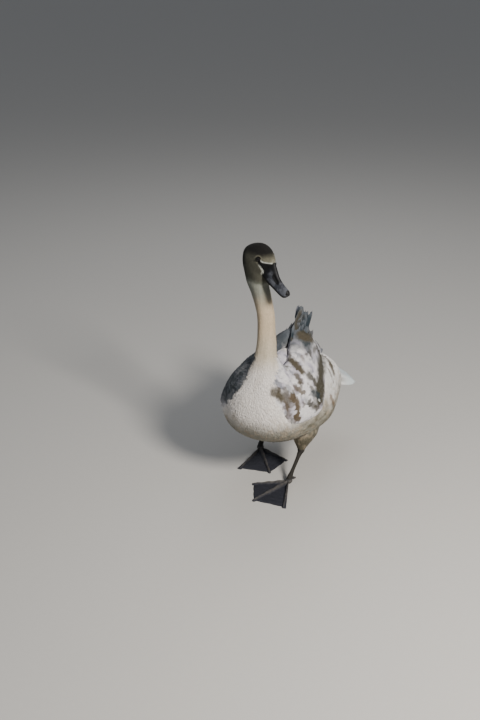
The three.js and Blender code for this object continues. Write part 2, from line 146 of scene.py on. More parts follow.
def smooth(low, high, x):
    # 0 before low, 1 past high, and 3ff - 2fff between, where f is the share of the way
    f = np.clip((np.asarray(x, float) - low) / (high - low), 0, 1)
    return f * f * (3 - 2 * f)


def unit(v):
    # each vector over its own length
    return v / np.maximum(np.linalg.norm(v, axis=-1, keepdims=True), 1e-9)


def meshed(t, columns):
    # t against the angles of a ring of this many columns
    return np.meshgrid(t, np.linspace(0, fullTurn, columns + 1)[:-1], indexing="ij")


def noise(points, size, seed=0):
    # even noise from -1 to 1: hashed values at the corners of cells of this size, blended between
    p = np.asarray(points, float) / size + seed * 17.31
    base = np.floor(p).astype(np.int64)
    f = p - base
    f = f * f * (3 - 2 * f)
    total = np.zeros(p.shape[:-1])
    for corner in range(8):
        step = np.array([corner & 1, corner >> 1 & 1, corner >> 2 & 1])
        cell = (base + step) * hashPrimes
        h = cell[..., 0] ^ cell[..., 1] ^ cell[..., 2]
        h = (h ^ (h >> 13)) * 1274126177 & 0x7fffffff
        h = (h ^ (h >> 16)) & 0xffff
        total += (h / 32767.5 - 1) * np.where(step, f, 1 - f).prod(-1)
    return total


headRows = [(*body["headPivot"], body["headTurn"], *row, 1) for row in body["head"]]
bodyRows = np.array(body["trunk"] + body["neck"] + headRows, float)
lastSection = len(bodyRows) - 1
headCos, headSin = math.cos(math.radians(body["headTurn"])), math.sin(math.radians(body["headTurn"]))


def bodySurface(t, angle, grow=0.0):
    # t runs from the tail to the bill. Each section stands on the line from its low end to its high end.
    # Across: the cosine of the angle, to a power, times the half width. Along the line: the sine, to that
    # power, times the part of the line on that side of the waist. The section then turns on its own centre
    x, y, turn, lowA, lowZ, highA, highZ, half, waist, flat = columnsAt(bodyRows, t)
    turn = np.radians(turn)
    tall = np.hypot(highA - lowA, highZ - lowZ)
    upA, upZ = (highA - lowA) / tall, (highZ - lowZ) / tall
    midA, midZ = lowA + upA * tall * waist, lowZ + upZ * tall * waist
    across, rising = np.cos(angle), np.sin(angle)
    power = np.where(rising < 0, body["underPower"], flat)
    side = np.sign(across) * np.abs(across) ** power * (half + grow)
    reach = np.where(rising > 0, 1 - waist, waist) * tall + grow
    rise = np.sign(rising) * np.abs(rising) ** power * reach
    ahead = midA + upA * rise
    return np.stack([x + side * np.cos(turn) + ahead * np.sin(turn),
                     y + side * np.sin(turn) - ahead * np.cos(turn),
                     midZ + upZ * rise], -1)


def wingSurface(side):
    def surface(t, angle, grow=0.0):
        # a run of leaning ellipses from the front of the folded wing to its end
        y, out, z, thick, tall, lean = columnsAt(wing["sections"], t)
        lean = np.radians(lean)
        across, up = np.cos(angle) * (thick + grow), np.sin(angle) * (tall + grow)
        return np.stack([side * (out + across * np.cos(lean) - up * np.sin(lean)), y,
                         z + across * np.sin(lean) + up * np.cos(lean)], -1)
    return surface


def limbSurface(start, end, sizes):
    start, end = np.array(start, float), np.array(end, float)
    line = end - start
    wide = np.array([1.0, 0, 0])
    deep = unit(np.cross(line, wide))

    def surface(t, angle, grow=0.0):
        # ellipses carried along a straight line: place along it, half width and half depth by t
        at, a, b = columnsAt(sizes, t)
        return (start + line * at[..., None] + wide * ((a + grow) * np.cos(angle))[..., None]
                + deep * ((b + grow) * np.sin(angle))[..., None])
    return surface


def onHead(side, ahead, z):
    # a point of the turned head: the side and ahead distances swung about the pivot by the head's turn
    px, py = body["headPivot"]
    side, ahead, z = np.broadcast_arrays(*(np.asarray(v, float) for v in (side, ahead, z)))
    return np.stack([px + side * headCos + ahead * headSin, py + side * headSin - ahead * headCos, z], -1)


def headPlace(p):
    # the other way: a point's side, ahead and z in the turned head
    x, y = p[..., 0] - body["headPivot"][0], p[..., 1] - body["headPivot"][1]
    return x * headCos + y * headSin, x * headSin - y * headCos, p[..., 2]


# where the plan's own origin stands in the frame, from an eye that is in both
eyeLow, eyeHigh = (np.array(v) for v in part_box("eye_left"))
shift = np.round((eyeLow + eyeHigh) / 2 - onHead(eye["out"], eye["ahead"], eye["z"]) * mm, 5)
print("plan origin in the frame", shift)


def makePatch(surface, rows, columns, flow):
    # a table of a surface over t and angle: places, outward normals and the two slopes. The coat lies
    # towards greater t where flow is 1 and towards less where it is -1
    t = np.linspace(0, 1, rows)
    angle = np.linspace(0, fullTurn, columns + 1)
    place = surface(*np.meshgrid(t, angle, indexing="ij"))
    slopeT = np.gradient(place, t, axis=0)
    ring = place[:, :-1]
    slopeA = (np.roll(ring, -1, 1) - np.roll(ring, 1, 1)) / (2 * (angle[1] - angle[0]))
    slopeA = np.concatenate([slopeA, slopeA[:, :1]], 1)
    normal = unit(np.cross(slopeT, slopeA))
    middle = ring.mean(1, keepdims=True)
    if ((place - middle) * normal).sum() < 0:
        normal = -normal
    area = np.linalg.norm(np.cross(slopeT, slopeA), axis=-1)
    return {"place": place, "normal": normal, "slopeT": slopeT, "slopeA": slopeA, "area": area,
            "t": t, "angle": angle, "flow": flow}


def lookUp(table, t, angle):
    # a table's value at t and angle, blended between its four nearest entries
    rows, columns = table.shape[0] - 1, table.shape[1] - 1
    r = np.clip(t, 0, 1) * rows
    c = (angle / fullTurn % 1) * columns
    i, j = np.minimum(r.astype(int), rows - 1), np.minimum(c.astype(int), columns - 1)
    f, g = (r - i)[..., None], (c - j)[..., None]
    return ((table[i, j] * (1 - f) + table[i + 1, j] * f) * (1 - g)
            + (table[i, j + 1] * (1 - f) + table[i + 1, j + 1] * f) * g)


patchGrids = {"body": (961, 192), "wing": (241, 120), "thigh": (61, 96)}  # rows and columns of each table
patches = {"body": makePatch(bodySurface, *patchGrids["body"], -1)}
for name, side in sides.items():
    patches["wing_" + name] = makePatch(wingSurface(side), *patchGrids["wing"], 1)
    leg = legs[name]
    leg["thigh"] = limbSurface(np.array(leg["ankle"]) + (0, 0, limbs["aboveAnkle"]), leg["hip"], limbs["thigh"])
    patches["thigh_" + name] = makePatch(leg["thigh"], *patchGrids["thigh"], -1)


def insideWing(p, share):
    # a point is inside where its place in the leaning ellipse of its own y is under this share
    table = curveThrough(wing["sections"], np.linspace(0, 1, 200))
    out, z, thick, tall, lean = (np.interp(p[..., 1], table[:, 0], table[:, k]) for k in range(1, 6))
    lean = np.radians(lean)
    dx, dz = np.abs(p[..., 0]) - out, p[..., 2] - z
    across, up = dx * np.cos(lean) + dz * np.sin(lean), dz * np.cos(lean) - dx * np.sin(lean)
    inReach = (p[..., 1] > table[0, 0]) & (p[..., 1] < table[-1, 0])
    return inReach & ((across / thick) ** 2 + (up / tall) ** 2 < share**2)


def depthInBody(p, batch=2000):
    # how far points lie under the body's surface, from the nearest entry of a coarse table
    place, normal = (patches["body"][key][::12, :-1:4].reshape(-1, 3) for key in ("place", "normal"))
    depth = np.empty(len(p))
    for k in range(0, len(p), batch):
        part = p[k:k + batch]
        nearest = (((part**2).sum(1)[:, None] - 2 * part @ place.T) + (place**2).sum(1)).argmin(1)
        depth[k:k + batch] = ((place[nearest] - part) * normal[nearest]).sum(1)
    return depth


tones = {  # plain screen colours, 0 to 255
    # the lower breast's and the belly's tones are painted shade under the body
    "breast": (210, 204, 198), "breastLow": (124, 122, 110), "belly": (80, 75, 60), "mottle": (158, 143, 122),
    # the upper neck's tone is its grey-brown darkened by painted shade, the head's shadow
    "neckLow": (182, 170, 150), "neck": (184, 167, 142), "neckHigh": (126, 128, 118),
    "cheek": (72, 71, 62), "crown": (23, 22, 21), "nape": (32, 32, 30), "band": (116, 113, 98),
    "rim": (188, 190, 182), "lores": (4, 4, 5), "lid": (4, 4, 4), "throat": (80, 83, 74),
    "wing": (202, 199, 200), "lilac": (160, 155, 168), "blotch": (68, 61, 46), "grey": (104, 108, 114),
    "slate": (36, 46, 52), "olive": (48, 44, 28), "streak": (76, 64, 47), "rust": (100, 80, 60),
    "white": (222, 222, 220), "rump": (206, 204, 202), "stripe": (72, 64, 50), "tailTip": (186, 194, 196),
    "flank": (182, 174, 158), "leg": (44, 42, 38), "toe": (84, 80, 76), "web": (44, 45, 52),
    "billSide": (46, 48, 54), "billRidge": (5, 5, 7), "billEdge": (2, 2, 3), "billTip": (78, 80, 86),
    "billNail": (3, 3, 4), "billLower": (8, 9, 10), "billSheen": (80, 82, 88),
    "iris": (12, 8, 6), "pupil": (2, 2, 2),
}


def linear(screenTone):
    # the screen's own curve undone: straight near black, then a power of 2.4
    value = np.asarray(screenTone, float) / 255
    return np.where(value <= 0.04045, value / 12.92, ((value + 0.055) / 1.055) ** 2.4)


tone = {name: linear(value) for name, value in tones.items()}


def mix(colour, name, weight):
    # the colour times what the weight leaves, plus the named tone times the weight
    weight = np.asarray(weight)[..., None]
    return colour * (1 - weight) + tone[name] * weight


def plain(name, like):
    # one tone for every point
    return np.broadcast_to(tone[name], (*like.shape[:-1], 3))


def mixZones(colour, zones, fields):
    # each zone mixes in its tone by its strength times the smooth step of every field it names between
    # two values, or times the field itself where no values follow
    for name, strength, *steps in zones:
        weight = np.asarray(strength, float)
        for field, *ends in steps:
            weight = weight * (smooth(*ends, fields[field]) if ends else fields[field])
        colour = mix(colour, name, weight)
    return colour


bodyZones = [  # tone, strength, then each field and the two values between which its step runs
    ("flank", 0.6, ("yWarped", -90, -30), ("z", 330, 250)),
    # painted shade: the lower breast darkens towards the bottom, as shade falls under the body
    ("breastLow", 0.9, ("zTilted", 272, 190)),
    ("rump", 1, ("y", 60, 120), ("z", 170, 230)),
    # painted shade under the body: the belly, and patchy on the lower flanks
    ("belly", 0.95, ("zWarped", 196, 128)),
    ("belly", 1, ("zWarped", 268, 205), ("aside", 35, 85), ("patchy",)),
    ("neckLow", 1, ("zWarped", 385, 450), ("y", -40, -70)),
    ("neck", 1, ("zWarped", 455, 520)),
    # painted shade: the upper neck darkened as if in the head's shadow, over its own grey-brown
    ("neckHigh", 1, ("zEasy", 560, 625)),
    ("mottle", 1, ("mottled", 0.1, 0.6), ("z", 640, 600), ("moreBelow",)),
    ("throat", 0.9, ("overEdge", -9, 1)),
    ("cheek", 1, ("overEdge", -1, 9)),
    ("nape", 0.9, ("ahead", -18, -42), ("overEdge", -30, 4)),
    ("crown", 1, ("crownHeight", 712, 736)),
    ("band", 1, ("browHeight", 29, 5), ("ahead", 16, 40), ("z", 704, 708), ("moreAhead",)),
    ("band", 0.5, ("eyeAway", 13, 8)),
    ("rim", 0.85, ("besideLores",), ("z", 670, 680), ("ahead", 19, 27)),
    ("lores", 1, ("inLores", -0.8, 0.5)),
]
wingZones = [
    ("lilac", 0.75, ("cloud", -0.1, 0.5)),
    ("grey", 0.6, ("patch", 0.15, 0.65)),
    ("blotch", 0.7, ("spot", 0.34, 0.66)),
    ("slate", 0.9, ("yCloudy", 30, 90), ("z", 356, 392)),
    ("grey", 0.4, ("y", 60, 150), ("z", 370, 330)),
    ("grey", 0.6, ("z", 392, 410), ("y", -110, -40)),
    # the right wing's side in dark slate: its grey feathers with painted shade from the neck and breast
    ("slate", 1, ("x", -4, -16), ("y", 140, 40), ("z", 270, 300), ("uneven",)),
    # painted rim light: a paler line along the right wing's front edge
    ("grey", 0.4, ("paintedRimLight", 7, 3)),
]
skinZones = [
    ("lid", 1, ("lidAway", 10.5, 8.5)),
    ("leg", 1, ("z", 112, 96)),
    ("web", 1, ("z", 18, 12)),
    # painted highlight: the raised tops of the toes paler than the webs, broken by grain
    ("toe", 1, ("z", 3.2, 7), ("z", 16, 12), ("grain",)),
]
marks = {
    "wingBend": ((-8, 50, 104, 150, 196), (286, 302, 314, 326, 340)),  # y, and the bend's z there
    # the line of the painted rim light along the right wing's front edge
    "paintedRimLight": [(-76, -140, 346), (-85, -147, 331), (-82, -161, 314), (-86, -158, 298)],
    "cheekEdge": 650, "brow": 707, "mirror": (4, 17, -6), "waver": 5, "top": 425, "bottom": 180,
}
blotches = [  # places joined by a line, radius, tone and strength, on the left side
    ([(47, -6, 380), (62, -20, 377), (86, -21, 362)], 14, "blotch", 0.97),
    ([(82, -54, 361), (97, -57, 347)], 11, "blotch", 0.85),
    ([(104, -6, 345), (122, 1, 320)], 12.5, "olive", 0.85),
    ([(94, -92, 345), (113, -71, 323)], 9, "streak", 0.85),
    ([(64, -156, 358), (85, -144, 340), (95, -138, 325)], 15, "blotch", 0.85),
    ([(66, 30, 380), (74, 22, 376)], 7, "rust", 0.4),
    ([(129, -64, 288), (139, -40, 266)], 11, "olive", 0.8),
    ([(66, 196, 340), (88, 150, 326), (104, 104, 314), (122, 50, 302), (134, 6, 292), (138, -8, 286)], 31, "olive",
     0.97),
    ([(124, -30, 304), (139, -14, 290)], 14, "slate", 0.75),
    ([(141, -22, 282), (142, -6, 276)], 4, "white", 0.95),
    ([(34, 112, 405), (44, 142, 394), (42, 178, 380)], 22, "blotch", 0.92),
    ([(20, 138, 412), (30, 150, 404)], 10, "olive", 0.8),
    ([(52, 206, 350), (64, 190, 342)], 5, "white", 0.6),
    ([(97, -123, 338), (110, -116, 315), (119, -121, 288), (116, -128, 262)], 11, "streak", 0.95),
    ([(80, -140, 330), (98, -146, 298), (106, -150, 262)], 8, "streak", 0.7),
    ([(60, -140, 378), (72, -136, 366)], 8, "grey", 0.7),
    ([(40, -60, 392), (52, -90, 392)], 9, "grey", 0.55),
    ([(78, 212, 312), (92, 214, 296), (112, 196, 270)], 13, "stripe", 0.9),
    ([(104, 172, 292), (124, 160, 256)], 7, "stripe", 0.7),
    ([(64, 224, 322), (84, 222, 302), (100, 214, 284)], 9, "blotch", 0.85),
    ([(52, 242, 322), (82, 244, 296), (96, 236, 276)], 6, "stripe", 0.7),
    ([(136, 104, 230), (137, 121, 199)], 9, "rust", 0.75),
]
wingEdge = {  # where the wing's own feathers begin on the front, across for each height
    "z": (294, 317, 340, 360, 383, 406, 424, 451), "left": (92, 78, 66, 57, 51, 47, 44, 36),
    "right": (-78, -60, -42, -31, -21, -17, -12, -6),
}


def wingCover(p):
    # how far the wing's feathers cover a point of the trunk: beyond the edge line on either side, above the flank
    x, y, z = p[..., 0], p[..., 1], p[..., 2]
    wander = noise(p, 13, 8) * 4
    behind = np.maximum(y + 96, 0) * 0.9
    left = smooth(-4, 5, x - np.interp(z, wingEdge["z"], wingEdge["left"]) + wander + behind)
    right = smooth(-4, 5, np.interp(z, wingEdge["z"], wingEdge["right"]) - x + wander + behind)
    high = smooth(255, 300, z + 0.25 * (y + 150)) * smooth(452, 436, z) * smooth(60, 20, y)
    return np.maximum(left, right) * high


def nearLine(p, points):
    # the distance from each point to the nearest of a run of straight pieces
    best = np.full(p.shape[:-1], 1e9)
    for start, end in zip(points[:-1], points[1:]):
        start, end = np.array(start, float), np.array(end, float)
        line = end - start
        f = np.clip(((p - start) @ line) / (line @ line), 0, 1)
        best = np.minimum(best, np.linalg.norm(p - start - f[..., None] * line, axis=-1))
    return best


lores = [(21.5, 709), (25, 714.5), (29, 711.5), (36, 709), (47, 708), (56, 706.5), (64, 704), (62, 700), (44, 682),
         (30, 668), (29, 673), (34, 681), (35.5, 688), (31, 697), (25, 704)]


def inLores(p):
    # how far inside the bare lores a point lies: the distance to their outline, positive inside
    ahead, z = headPlace(p)[1:]
    best = np.full(ahead.shape, 1e9)
    inside = np.zeros(ahead.shape, bool)
    for (a0, z0), (a1, z1) in zip(lores, lores[1:] + lores[:1]):
        da, dz = a1 - a0, z1 - z0
        f = np.clip(((ahead - a0) * da + (z - z0) * dz) / (da * da + dz * dz), 0, 1)
        best = np.minimum(best, np.hypot(ahead - a0 - f * da, z - z0 - f * dz))
        crosses = (z0 > z) != (z1 > z)
        inside ^= crosses & (ahead < a0 + (z - z0) / (dz if dz else 1e-9) * da)
    return np.where(inside, best, -best)


def plumage(p, wingShare):
    # colour by place on the bird: the body's zones, the wing's by wingShare, then the blotches, mirrored and
    # moved a little on the right
    x, y, z = p[..., 0], p[..., 1], p[..., 2]
    side, ahead, up = headPlace(p)
    warp = noise(p, 26, 3) * 7 + noise(p, 9, 5) * 3
    lore = inLores(p)
    fields = {
        "x": x, "y": y, "z": z, "aside": np.abs(x), "ahead": ahead, "inLores": lore,
        "yWarped": y + warp, "zWarped": z + warp, "zTilted": z + warp + 0.1 * y, "zEasy": z + warp * 0.6,
        "patchy": 0.5 + 0.5 * noise(p * (1, 0.4, 1), 8, 47),
        "mottled": noise(p * (1, 1, 0.7), 7, 45) + 0.6 * noise(p, 19, 46),
        "moreBelow": 0.14 + 0.3 * smooth(300, 230, z),
        "overEdge": up - marks["cheekEdge"] + 0.14 * ahead - noise(p, 7, 11) * 2.5,
        "crownHeight": up + 0.1 * ahead + noise(p, 6, 13) * 2,
        "browHeight": up - marks["brow"] + noise(p, 5, 15) * 2,
        "moreAhead": 0.55 + 0.4 * smooth(26, 44, ahead),
        "eyeAway": np.hypot(ahead - eye["ahead"], up - eye["z"]) + 20 * (np.abs(side) < 12),
        "besideLores": smooth(3 * smooth(700, 706, up) - 7, -1.3, lore),
        "cloud": noise(p, 21, 21),
        "patch": noise(p, 15, 23) + 0.5 * noise(p, 7, 22),
        "spot": noise(p, 17, 25) + 0.5 * noise(p, 8, 26),
        "yCloudy": y + 20 * noise(p, 18, 28),
        "uneven": 0.88 + 0.1 * noise(p, 14, 27),
        "paintedRimLight": nearLine(p, marks["paintedRimLight"]),
    }
    isWing = np.clip(np.broadcast_to(wingShare, z.shape), 0, 1)
    colour = (mixZones(plain("breast", p), bodyZones, fields) * (1 - isWing[..., None])
              + mixZones(plain("wing", p), wingZones, fields) * isWing[..., None])

    mirrored = np.stack([np.abs(x), y, z], -1) + (x < 0)[..., None] * marks["mirror"]
    mirrored = mirrored + np.stack([noise(p, 11, seed) for seed in (31, 32, 33)], -1) * marks["waver"]
    trunkOnly = (z < marks["top"]) & (z > marks["bottom"]) & ((x > 0) | (y > -60) & (z < 372))
    under = smooth(-4, -20, z - np.interp(y, *marks["wingBend"])) * smooth(50, 110, y) * isWing
    unseen = np.maximum(under, smooth(0, -20, x) * 0.9)  # broken up under the wing's bend and on the right side
    worn = 1 - unseen * (0.35 + 0.65 * smooth(0.35, -0.15, noise(p, 13, 63) + 0.6 * noise(p, 6, 64)))
    for points, radius, name, strength in blotches:
        near = smooth(radius * 1.35, radius * 0.6, nearLine(mirrored, points))
        shown = trunkOnly & ((x > 0) | (name != "white"))
        colour = mix(colour, name, near * strength * shown * worn)
    return colour


def newPiece(name, points, faces, colour=None, uv=None, vane=None):
    # points in millimetres, faces as arrays of corner numbers, one array for each number of corners
    points = np.asarray(points, float).reshape(-1, 3) * mm + shift
    mesh = bpy.data.meshes.new(name)
    mesh.vertices.add(len(points))
    mesh.vertices.foreach_set("co", points.ravel())
    corners = np.concatenate([f.ravel() for f in faces])
    counts = np.concatenate([np.full(len(f), f.shape[1]) for f in faces])
    mesh.loops.add(len(corners))
    mesh.loops.foreach_set("vertex_index", corners.astype(np.int32))
    mesh.polygons.add(len(counts))
    mesh.polygons.foreach_set("loop_start", np.concatenate([[0], np.cumsum(counts)[:-1]]).astype(np.int32))
    mesh.update(calc_edges=True)
    mesh.polygons.foreach_set("use_smooth", np.ones(len(counts), bool))
    if colour is not None:
        paint(mesh, colour.reshape(-1, 3))
    for title, values in (("OFBake", uv), ("vane", vane)):
        if values is not None:
            layer = mesh.uv_layers.new(name=title)
            layer.uv.foreach_set("vector", values.reshape(-1, 2)[corners].astype(np.float32).ravel())
    return link(bpy.data.objects.new(name, mesh))


def link(thing):
    bpy.context.scene.collection.objects.link(thing)
    return thing


def paint(mesh, colour):
    # a colour for every point, as the attribute the materials read
    layer = mesh.color_attributes.new("plumage", "FLOAT_COLOR", "POINT")
    rgba = np.concatenate([np.clip(colour, 0, 1), np.ones((len(colour), 1))], 1)
    layer.data.foreach_set("color", rgba.astype(np.float32).ravel())


def places(mesh):
    # the points of a mesh back in the plan's millimetres
    flatList = np.empty(len(mesh.vertices) * 3)
    mesh.vertices.foreach_get("co", flatList)
    return (flatList.reshape(-1, 3) - shift) / mm


def outward(points, faces):
    # the faces, turned round where the volume they enclose, summed over fans of triangles, is negative
    volume = sum((np.cross(points[f[:, 0]], points[f[:, k]]) * points[f[:, k + 1]]).sum()
                 for f in faces for k in range(1, f.shape[1] - 1))
    return points, [f[:, ::-1] for f in faces] if volume < 0 else faces


def sheetFaces(count, rows, columns):
    # the quads of many like sheets of rows by columns points
    r, c = np.meshgrid(np.arange(rows - 1), np.arange(columns - 1), indexing="ij")
    first = (r * columns + c).ravel()
    quad = np.stack([first, first + 1, first + columns + 1, first + columns], 1)
    return (np.arange(count)[:, None, None] * rows * columns + quad).reshape(-1, 4)


def ringFaces(rows, columns, steps):
    # the quads from ring to ring of points, over this many steps; as many steps as rows close the run
    r, c = np.meshgrid(np.arange(steps), np.arange(columns), indexing="ij")
    here, below, after = r * columns, (r + 1) % rows * columns, (c + 1) % columns
    return np.stack([here + c, here + after, below + after, below + c], -1).reshape(-1, 4)


def closed(grid):
    # a grid's values as a list, then the means of its first and last rings
    return np.concatenate([grid.reshape(-1, 3), grid[:1].mean(1), grid[-1:].mean(1)])


def shell(grid):
    # a closed skin round rings of points, each end closed by a fan to the ring's middle
    rows, columns = grid.shape[:2]
    k = np.arange(columns)
    after, last, size = (k + 1) % columns, (rows - 1) * columns, rows * columns
    ends = np.concatenate([np.stack([k * 0 + size, after, k], 1),
                           np.stack([k * 0 + size + 1, last + k, last + after], 1)])
    return outward(closed(grid), [ringFaces(rows, columns, rows - 1), ends])


def slab(top, bottom):
    # a closed thin block between two grids of the same shape, joined round their edges
    rows, columns = top.shape[:2]
    size = rows * columns
    number = np.arange(size).reshape(rows, columns)
    edge = np.concatenate([number[0, :-1], number[:-1, -1], number[-1, :0:-1], number[:0:-1, 0]])
    turned = np.roll(edge, -1)
    walls = np.stack([turned, edge, edge + size, turned + size], 1)
    upper = sheetFaces(1, rows, columns)
    points = np.concatenate([top.reshape(-1, 3), bottom.reshape(-1, 3)])
    return outward(points, [np.concatenate([upper, upper[:, ::-1] + size, walls])])


class Nodes:
    # a small helper to write node trees: add makes a node, put gives a socket a value or a link
    def __init__(self, name, **plainSockets):
        self.material = bpy.data.materials.new(name)
        self.material.use_nodes = True
        self.tree = self.material.node_tree
        self.shader = self.tree.nodes["Principled BSDF"]
        self.place = self.add("TexCoord").outputs["Object"]
        for socket, value in plainSockets.items():
            self.put(self.shader, socket.replace("_", " "), value)

    def put(self, node, socket, value):
        if isinstance(value, bpy.types.NodeSocket):
            self.tree.links.new(value, node.inputs[socket])
        else:
            node.inputs[socket].default_value = value

    def add(self, kind, values=(), **settings):
        node = self.tree.nodes.new("ShaderNode" + kind)
        for key, value in settings.items():
            setattr(node, key, value)
        for socket, value in dict(values).items():
            self.put(node, socket, value)
        return node

    def maths(self, operation, *values):
        return self.add("Math", enumerate(values), operation=operation).outputs[0]

    def grain(self, scale, detail=2.0):
        return self.add("TexNoise", {"Vector": self.place, "Scale": scale, "Detail": detail}).outputs[0]

    def blend(self, kind, factor, a, b):
        return self.add("Mix", {0: factor, 6: a, 7: b}, data_type="RGBA", blend_type=kind).outputs[2]

    def shadePaint(self, shade):
        # the base colour is the piece's own paint times a grey
        painted = self.add("Attribute", attribute_name="plumage").outputs["Color"]
        grey = self.add("CombineColor", {0: shade, 1: shade, 2: shade}).outputs[0]
        self.put(self.shader, "Base Color", self.blend("MULTIPLY", 1.0, painted, grey))

    def raiseBy(self, height, strength, distance=0.0004):
        bump = self.add("Bump", {"Strength": strength, "Distance": distance, "Height": height})
        self.put(self.shader, "Normal", bump.outputs[0])


def featherMaterial(name, barbs, bump, sheen, rough):
    # the piece's own paint with fine speckle; slanting barbs, a sine across the vane map, in shade and bump
    n = Nodes(name, Roughness=rough, Sheen_Weight=sheen, Sheen_Roughness=0.5, Specular_IOR_Level=0.12)
    speckle = n.grain(620.0, 3.0)
    across, along = n.add("SeparateXYZ", {0: n.add("UVMap", uv_map="vane").outputs[0]}).outputs[:2]
    fromShaft = n.maths("ABSOLUTE", n.maths("SUBTRACT", across, 0.5))
    slant = n.maths("SUBTRACT", along, n.maths("MULTIPLY", fromShaft, 0.55))
    wobble = n.maths("MULTIPLY", n.grain(180.0), 2.2)
    wave = n.maths("SINE", n.maths("ADD", n.maths("MULTIPLY", slant, barbs * 6.28), wobble))
    n.shadePaint(n.maths("MULTIPLY_ADD", speckle, 0.22, n.maths("MULTIPLY_ADD", wave, 0.035, 0.87)))
    n.raiseBy(n.maths("MULTIPLY_ADD", speckle, 0.6, wave), bump)
    return n.material


def skinMaterial():
    # painted skin with small scales and dark joints between them
    n = Nodes("skin", Specular_IOR_Level=0.2)
    scales = n.add("TexVoronoi", {"Vector": n.place, "Scale": 330.0}, feature="DISTANCE_TO_EDGE").outputs[0]
    joint = n.maths("MINIMUM", n.maths("MULTIPLY", scales, 5.0), 1.0)
    grain = n.grain(240.0, 5.0)
    n.shadePaint(n.maths("MULTIPLY_ADD", joint, 0.35, n.maths("MULTIPLY_ADD", grain, 0.5, 0.42)))
    n.raiseBy(n.maths("MULTIPLY_ADD", grain, 0.5, joint), 0.6, 0.0006)
    n.put(n.shader, "Roughness", n.maths("MULTIPLY_ADD", grain, 0.3, 0.5))
    return n.material


def billMaterial():
    # horn: the piece's paint, faint streaks and pits, a soft gloss
    n = Nodes("bill_horn", Specular_IOR_Level=0.22)
    streak, pits = n.grain(210.0, 4.0), n.grain(900.0)
    n.shadePaint(n.maths("MULTIPLY_ADD", streak, 0.5, 0.75))
    n.raiseBy(n.maths("MULTIPLY_ADD", pits, 0.4, streak), 0.3)
    n.put(n.shader, "Roughness", n.maths("MULTIPLY_ADD", streak, 0.25, 0.44))
    return n.material


def eyeMaterial():
    # a wet globe: the paint of iris and pupil with flecks, under a smooth gloss
    n = Nodes("eye", Roughness=0.08, Specular_IOR_Level=0.35)
    n.shadePaint(n.maths("MULTIPLY_ADD", n.grain(1500.0), 0.6, 0.7))
    return n.material


def grainedMaterial(name, scale, detail, dark, light, rough):
    # a tone that wavers between two by a fine noise
    n = Nodes(name, Roughness=rough)
    n.put(n.shader, "Base Color", n.blend("MIX", n.grain(scale, detail), (*dark, 1), (*light, 1)))
    return n.material


softFeather = featherMaterial("soft_feather", 9.0, 0.25, 0.08, 0.8)
longFeather = featherMaterial("long_feather", 34.0, 0.4, 0.06, 0.66)
billFinish, eyeFinish = billMaterial(), eyeMaterial()
clawFinish = grainedMaterial("claw_finish", 420.0, 3.0, (0.008, 0.007, 0.006), (0.03, 0.027, 0.024), 0.38)


def finish(piece, material, slot, *nodes):
    # the piece gets its material and its body, and the nodes it stands in for are hidden; slot is not used
    piece.data.materials.clear()
    piece.data.materials.append(material)
    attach(piece, "root")
    if nodes:
        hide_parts(*nodes)
    print(piece.name, sum(len(p.vertices) - 2 for p in piece.data.polygons), "triangles")


skinPlan = {
    "depth": ((0, 0.05, 0.40, 0.46, 0.64, 0.7, 1), (4, 9, 9, 5, 5, 3, 3)),  # t, and how deep the skin lies there
    "wingDepth": 10, "thighDepth": 2, "rows": (150, 120), "columns": 128,
    "pad": (8.5, (10.5, 11.55, 9.975)), "ankle": (1, (10.8, 12, 12.5)),  # height and radii
    "hindToe": {"from": 5, "reach": 22, "above": 3, "fall": 9.5, "radius": 5.2, "taper": 2.4},
    "lid": {"wide": 1.12, "tall": 0.92, "thick": 1.25, "sunk": 0.9},
}
foot = {
    "toes": {"outer": (140, 38, 5.2), "middle": (150, 0, 6), "inner": (110, -37, 5.2)},  # reach, angle, half thickness
    "web": 2.2, "hollow": 0.05, "toeStep": 0.06, "knuckles": 3.5, "rounded": 1.9,
}


def skinBody():
    # the body's surface drawn in by the coat's depth, but not where the lores are bare
    start, (low, high) = body["headStart"] / lastSection, skinPlan["rows"]
    t, angle = meshed(np.concatenate([np.linspace(0, start, low)[:-1], np.linspace(start, 1, high)]),
                      skinPlan["columns"])
    full = bodySurface(t, angle)
    bare = smooth(-2.5, 1.5, inLores(full)) * smooth(600, 660, full[..., 2])
    return bodySurface(t, angle, -np.interp(t, *skinPlan["depth"]) * (1 - bare))


